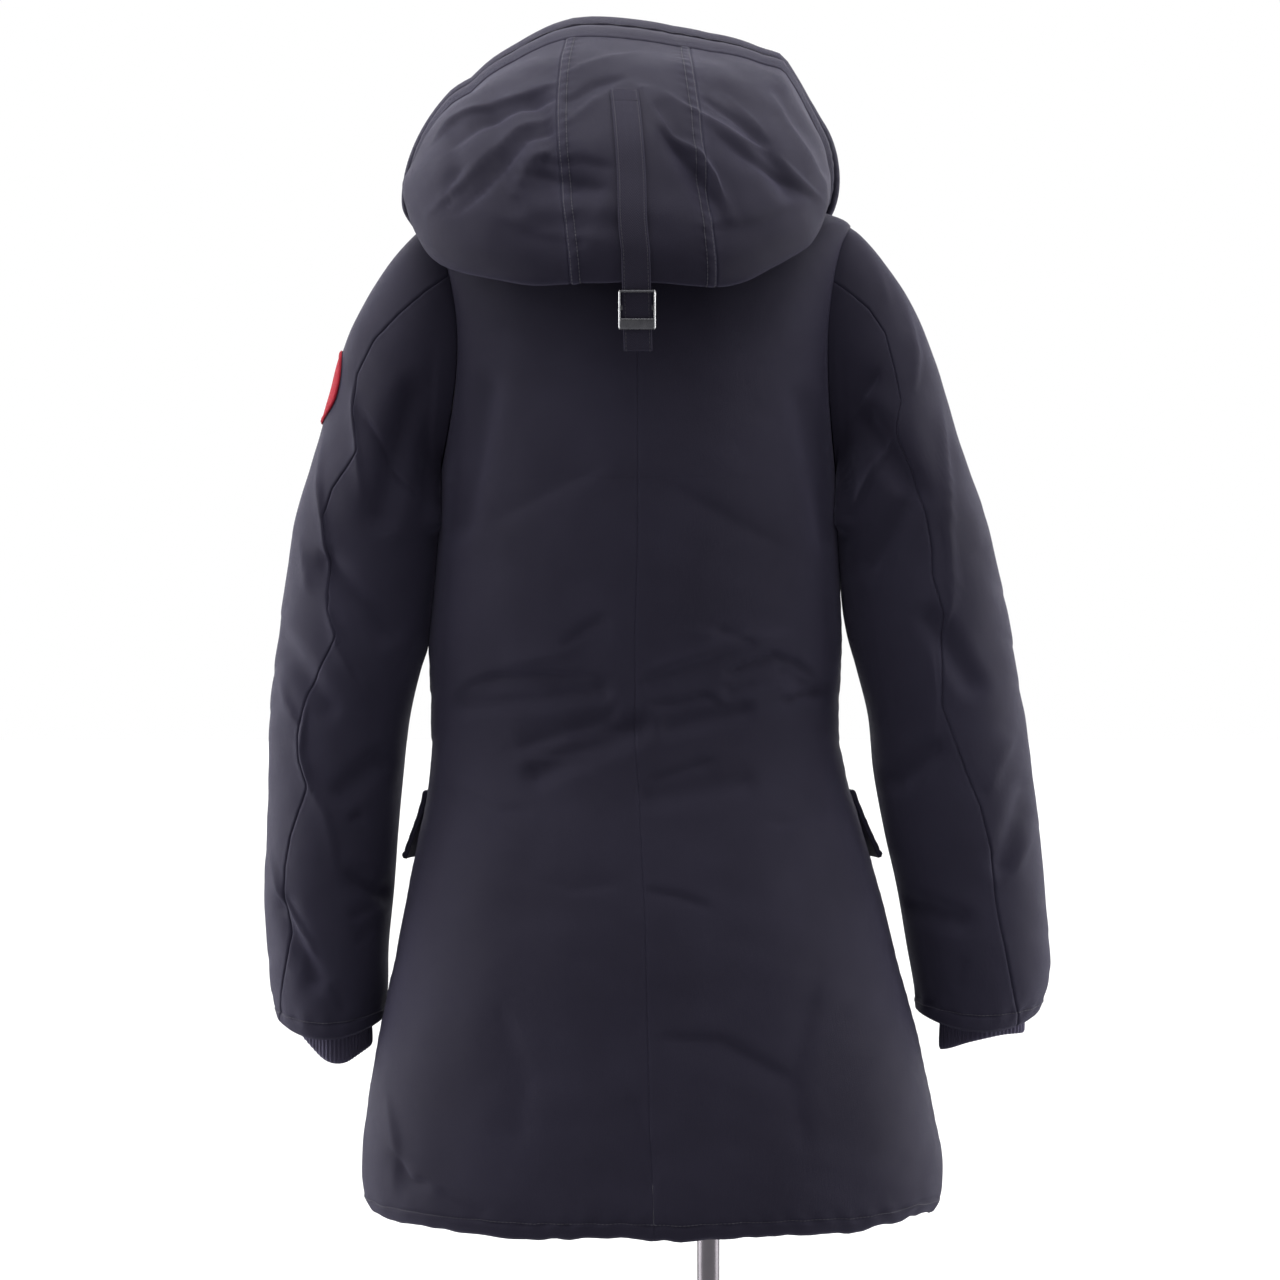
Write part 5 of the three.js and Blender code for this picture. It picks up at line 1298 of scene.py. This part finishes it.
def slide():
    """The slide buckle: two posts beside the strap, a thin and a broad bar before it, and one bar behind."""
    b = BUCKLE
    long = (b["top"] - b["foot"]) * math.hypot(1, STRAP_TAIL["slope"])
    face = STRAP["wall"] + b["gap"]
    depth = b["behind"] + b["gap"] + face + b["front"]
    middle = depth / 2 - b["behind"] - b["gap"]
    reach = b["half"] - b["post"] / 2
    bars = [rod([(x, middle, -long / 2), (x, middle, long / 2)], b["post"], depth) for x in (-reach, reach)]
    front = face + b["front"] / 2
    for z, high, y, deep in ((long / 2 - 1, 2, front, b["front"]),
                             (b["low_bar"] / 2 - long / 2, b["low_bar"], front, b["front"]),
                             (1, b["mid_bar"], -b["gap"] - b["behind"] / 2, b["behind"])):
        bars.append(rod([(-reach - 0.5, y, z), (reach + 0.5, y, z)], high, deep))
    spot = strap_below((b["top"] + b["foot"]) / 2, 0)[0]
    lean = -math.atan(STRAP_TAIL["slope"])
    tip = np.array([[1, 0, 0], [0, math.cos(lean), -math.sin(lean)], [0, math.sin(lean), math.cos(lean)]])
    # painted light: the posts take the painted lit copy of the metal, the bars the painted shaded copy
    groups = ("buckle_posts", bars[:2], PAINTED_LIT_METAL), ("buckle_bars", bars[2:], PAINTED_SHADED_METAL)
    for name, group, metal in groups:
        faces, first, points = [], 0, []
        for bar in group:
            faces.extend(tube_faces(*bar.shape[:2], first))
            first += bar.shape[0] * bar.shape[1]
            points.append(bar.reshape(-1, 3) @ tip.T + spot)
        fit(show(name, np.concatenate(points), faces, metal), "buckle", "buckle")


# The form and its stand

FORM_NECK = columns("mid half back side front zb zs zf box", [
    (6, 64, 53, -6, -68, 1408, 1446, 1358, 0),
    (6, 59, 48, -6, -62, 1424, 1451, 1392, 0),
    (6, 57, 46, -6, -60, 1444, 1458, 1428, 0),
    (6, 56, 45, -6, -58, 1466, 1466, 1466, 0),
])


def form():
    """A limbless torso under the coat, covered in jersey: the coat's body, drawn in by its wall and ease."""
    deg = np.linspace(0, 360, FORM_COLUMNS + 1)[:-1][None]
    low = body_row(FORM_FOOT)
    at = rows_along(body_base, 90, low, NECK, ROW_STEP["form"], (0,))[:, None]
    inward = CLOTH + LIFT + through(BODY["ease"], at)[..., None]
    torso = body_base(deg, at) - normals(body_base, deg, at) * inward
    foot = torso[:1].copy()
    foot[..., 2] = FORM_FOOT
    foot[0] = foot[0].mean(0) + (foot[0] - foot[0].mean(0)) * 0.985
    torso[0, :, 2] = FORM_FOOT + 3
    neck = ring_point(FORM_NECK, deg, np.linspace(0, 3, 16)[:, None])
    rings = np.concatenate([foot, torso, neck])
    girth, _, height, _ = distances(np.concatenate([rings, rings[:, :1]], axis=1))
    uv = np.stack([girth[:, :-1], height[:, :-1]], -1).reshape(-1, 2) / 1000
    piece = show("form_cover_jersey", rings, tube_faces(*rings.shape[:2], 0), JERSEY, uv)
    fit(piece, "form_cover", "form_torso")


def turned_piece(node, profile, x, y, steps=72):
    """A profile of radius and height carried round an upright axis, with a face over each end."""
    turns = np.linspace(0, 2 * np.pi, steps, endpoint=False)
    ring = np.stack([np.cos(turns), np.sin(turns), np.zeros(steps)], -1)
    p = ring[None] * profile[:, 0][:, None, None] + profile[:, 1][:, None, None] * np.array([0, 0, 1])
    fit(show(node + "_steel", p + [x, y, 0], tube_faces(len(profile), steps, 0), STEEL), "steel", node)


def rounded(profile, size=1.2):
    """A profile whose inner corners are short curves, with a point kept close on both sides of each."""
    profile = np.array(profile, float)
    out = [profile[:1]]
    for before, corner, after in zip(profile[:-2], profile[1:-1], profile[2:]):
        back, on = before - corner, after - corner
        reach = min(size, 0.42 * np.linalg.norm(back), 0.42 * np.linalg.norm(on))
        a, b = corner + unit(back) * reach, corner + unit(on) * reach
        t = np.linspace(0, 1, 6)[:, None]
        curve = (1 - t) ** 2 * a + 2 * t * (1 - t) * corner + t**2 * b
        out.append(np.concatenate([[a + unit(back) * 0.08 * reach], curve, [b + unit(on) * 0.08 * reach]]))
    return np.concatenate([*out, profile[-1:]])


def stand():
    """Neck cap, socket, pole and round base, all turned."""
    r, foot, top, x = POLE["r"], POLE["foot"], POLE["top"], POLE["x"]
    along_pole = [(r, z) for z in np.linspace(foot + 40, top - 40, 12)]
    for node, x, y, profile in (
        ("neck_cap", 6, -6, [(0.5, 1466.4), (50, 1466.4), (52, 1468), (52, 1474), (48, 1477.6), (24, 1479.4),
                             (0.5, 1480)]),
        ("pole_socket", x, 0, [(0.5, 680.8), (BORE, 680.2), (BORE, 640), (14, 640), (16, 644), (16, 682),
                               (32, 684), (32, 689.4), (0.5, 689.6)]),
        ("pole", x, 0, [(0.5, foot), (r, foot), *along_pole, (r, top), (0.5, top)]),
        ("base", x, 0, [(0.5, 0), (163, 0), (165, 2), (165, 6), (163, 8), (34, 10), (24, 16), (22, 56),
                        (19, 60), (BORE, 60), (BORE, 20), (0.5, 20)]),
    ):
        turned_piece(node, rounded(profile), x, y)


# Camera, light and floor

EYE = (0.014, 2.640, 1.055)
HALF_VIEW = 11.575  # half the angle of the view, in degrees
SENSOR = 36
FRONT_LIGHT, BACK_LIGHT = 0.34, 1.9  # the surround's strength from the camera's side and from beyond the coat
SOFTBOXES = (  # name, place, what it faces, size and power
    ("overhead", (0.1, 0.2, 3.6), (0, 0, 1.1), 2.2, 52),
    ("side", (2.4, 1.2, 1.9), (0, 0, 1.0), 1.4, 8),
    ("rim", (2.4, -0.4, 1.0), (0, 0, 0.95), 1.8, 62),
    ("rim", (-2.4, -0.4, 1.0), (0, 0, 0.95), 1.8, 52),
)
FLOOR_REACH = 30
FLOOR_POINTS = 13

camera = bpy.data.objects.new("camera", bpy.data.cameras.new("camera"))
camera.location = EYE
camera.rotation_euler = (math.radians(90), 0, math.radians(180))
camera.data.sensor_width = SENSOR
camera.data.lens = SENSOR / 2 / math.tan(math.radians(HALF_VIEW))
bpy.context.scene.collection.objects.link(camera)
bpy.context.scene.camera = camera


def softbox(name, spot, aim, size, power):
    """A square light that faces a point."""
    lamp = bpy.data.lights.new(name, "AREA")
    lamp.size, lamp.energy = size, power
    lit = bpy.data.objects.new(name, lamp)
    way = np.array(spot) - np.array(aim)
    lit.location = spot
    lit.rotation_euler = (math.acos(way[2] / np.linalg.norm(way)), 0, math.atan2(way[0], -way[1]))
    bpy.context.scene.collection.objects.link(lit)


def surround():
    """White as seen. As light it is strong from above and beyond the coat, weak from the camera's side."""
    world = bpy.data.worlds.new("surround")
    world.use_nodes = True
    seen, links = world.node_tree.nodes["Background"], world.node_tree.links
    way = step(world, "TexCoord", pick=0)
    share = step(world, "VectorMath", way, (0.0, -0.8, 0.6), pick=1, operation="DOT_PRODUCT")
    share = step(world, "MapRange", share, ("From Min", -0.6), ("From Max", 0.9), ("To Min", FRONT_LIGHT),
                 ("To Max", BACK_LIGHT), interpolation_type="SMOOTHSTEP")
    eye = step(world, "LightPath")
    links.new(step(world, "Mix", ("Factor", eye), ("A", share), ("B", 1.0)), seen.inputs["Strength"])
    seen.inputs["Color"].default_value = (1, 1, 1, 1)
    return world


def studio():
    """A pale floor, a white surround and soft light mostly from above."""
    scene = bpy.context.scene
    scene.view_settings.view_transform = "Standard"
    scene.world = surround()
    for box in SOFTBOXES:
        softbox(*box)
    a = np.linspace(-FLOOR_REACH, FLOOR_REACH, FLOOR_POINTS)
    x, y = np.meshgrid(a, a)
    p = np.stack([x, y, np.zeros_like(x)], -1) * 1000
    index = np.arange(FLOOR_POINTS**2).reshape(FLOOR_POINTS, FLOOR_POINTS)
    faces = np.stack([index[:-1, :-1], index[:-1, 1:], index[1:, 1:], index[1:, :-1]], -1).reshape(-1, 4)
    show("floor", p, [faces], pale_floor())


body_panels()
sleeve_panels()
round_patch()
rib_cuffs()
hood_panels()
hood_brim()
storm_flap()
pocket_flaps()
hood_strap()
slide()
form()
stand()
for group in stitch_rows:
    on_tape = group == "strap"
    fit(stitches(group, THREAD, 0.2 if on_tape else 0.28), "webbing" if on_tape else "shell")
studio()
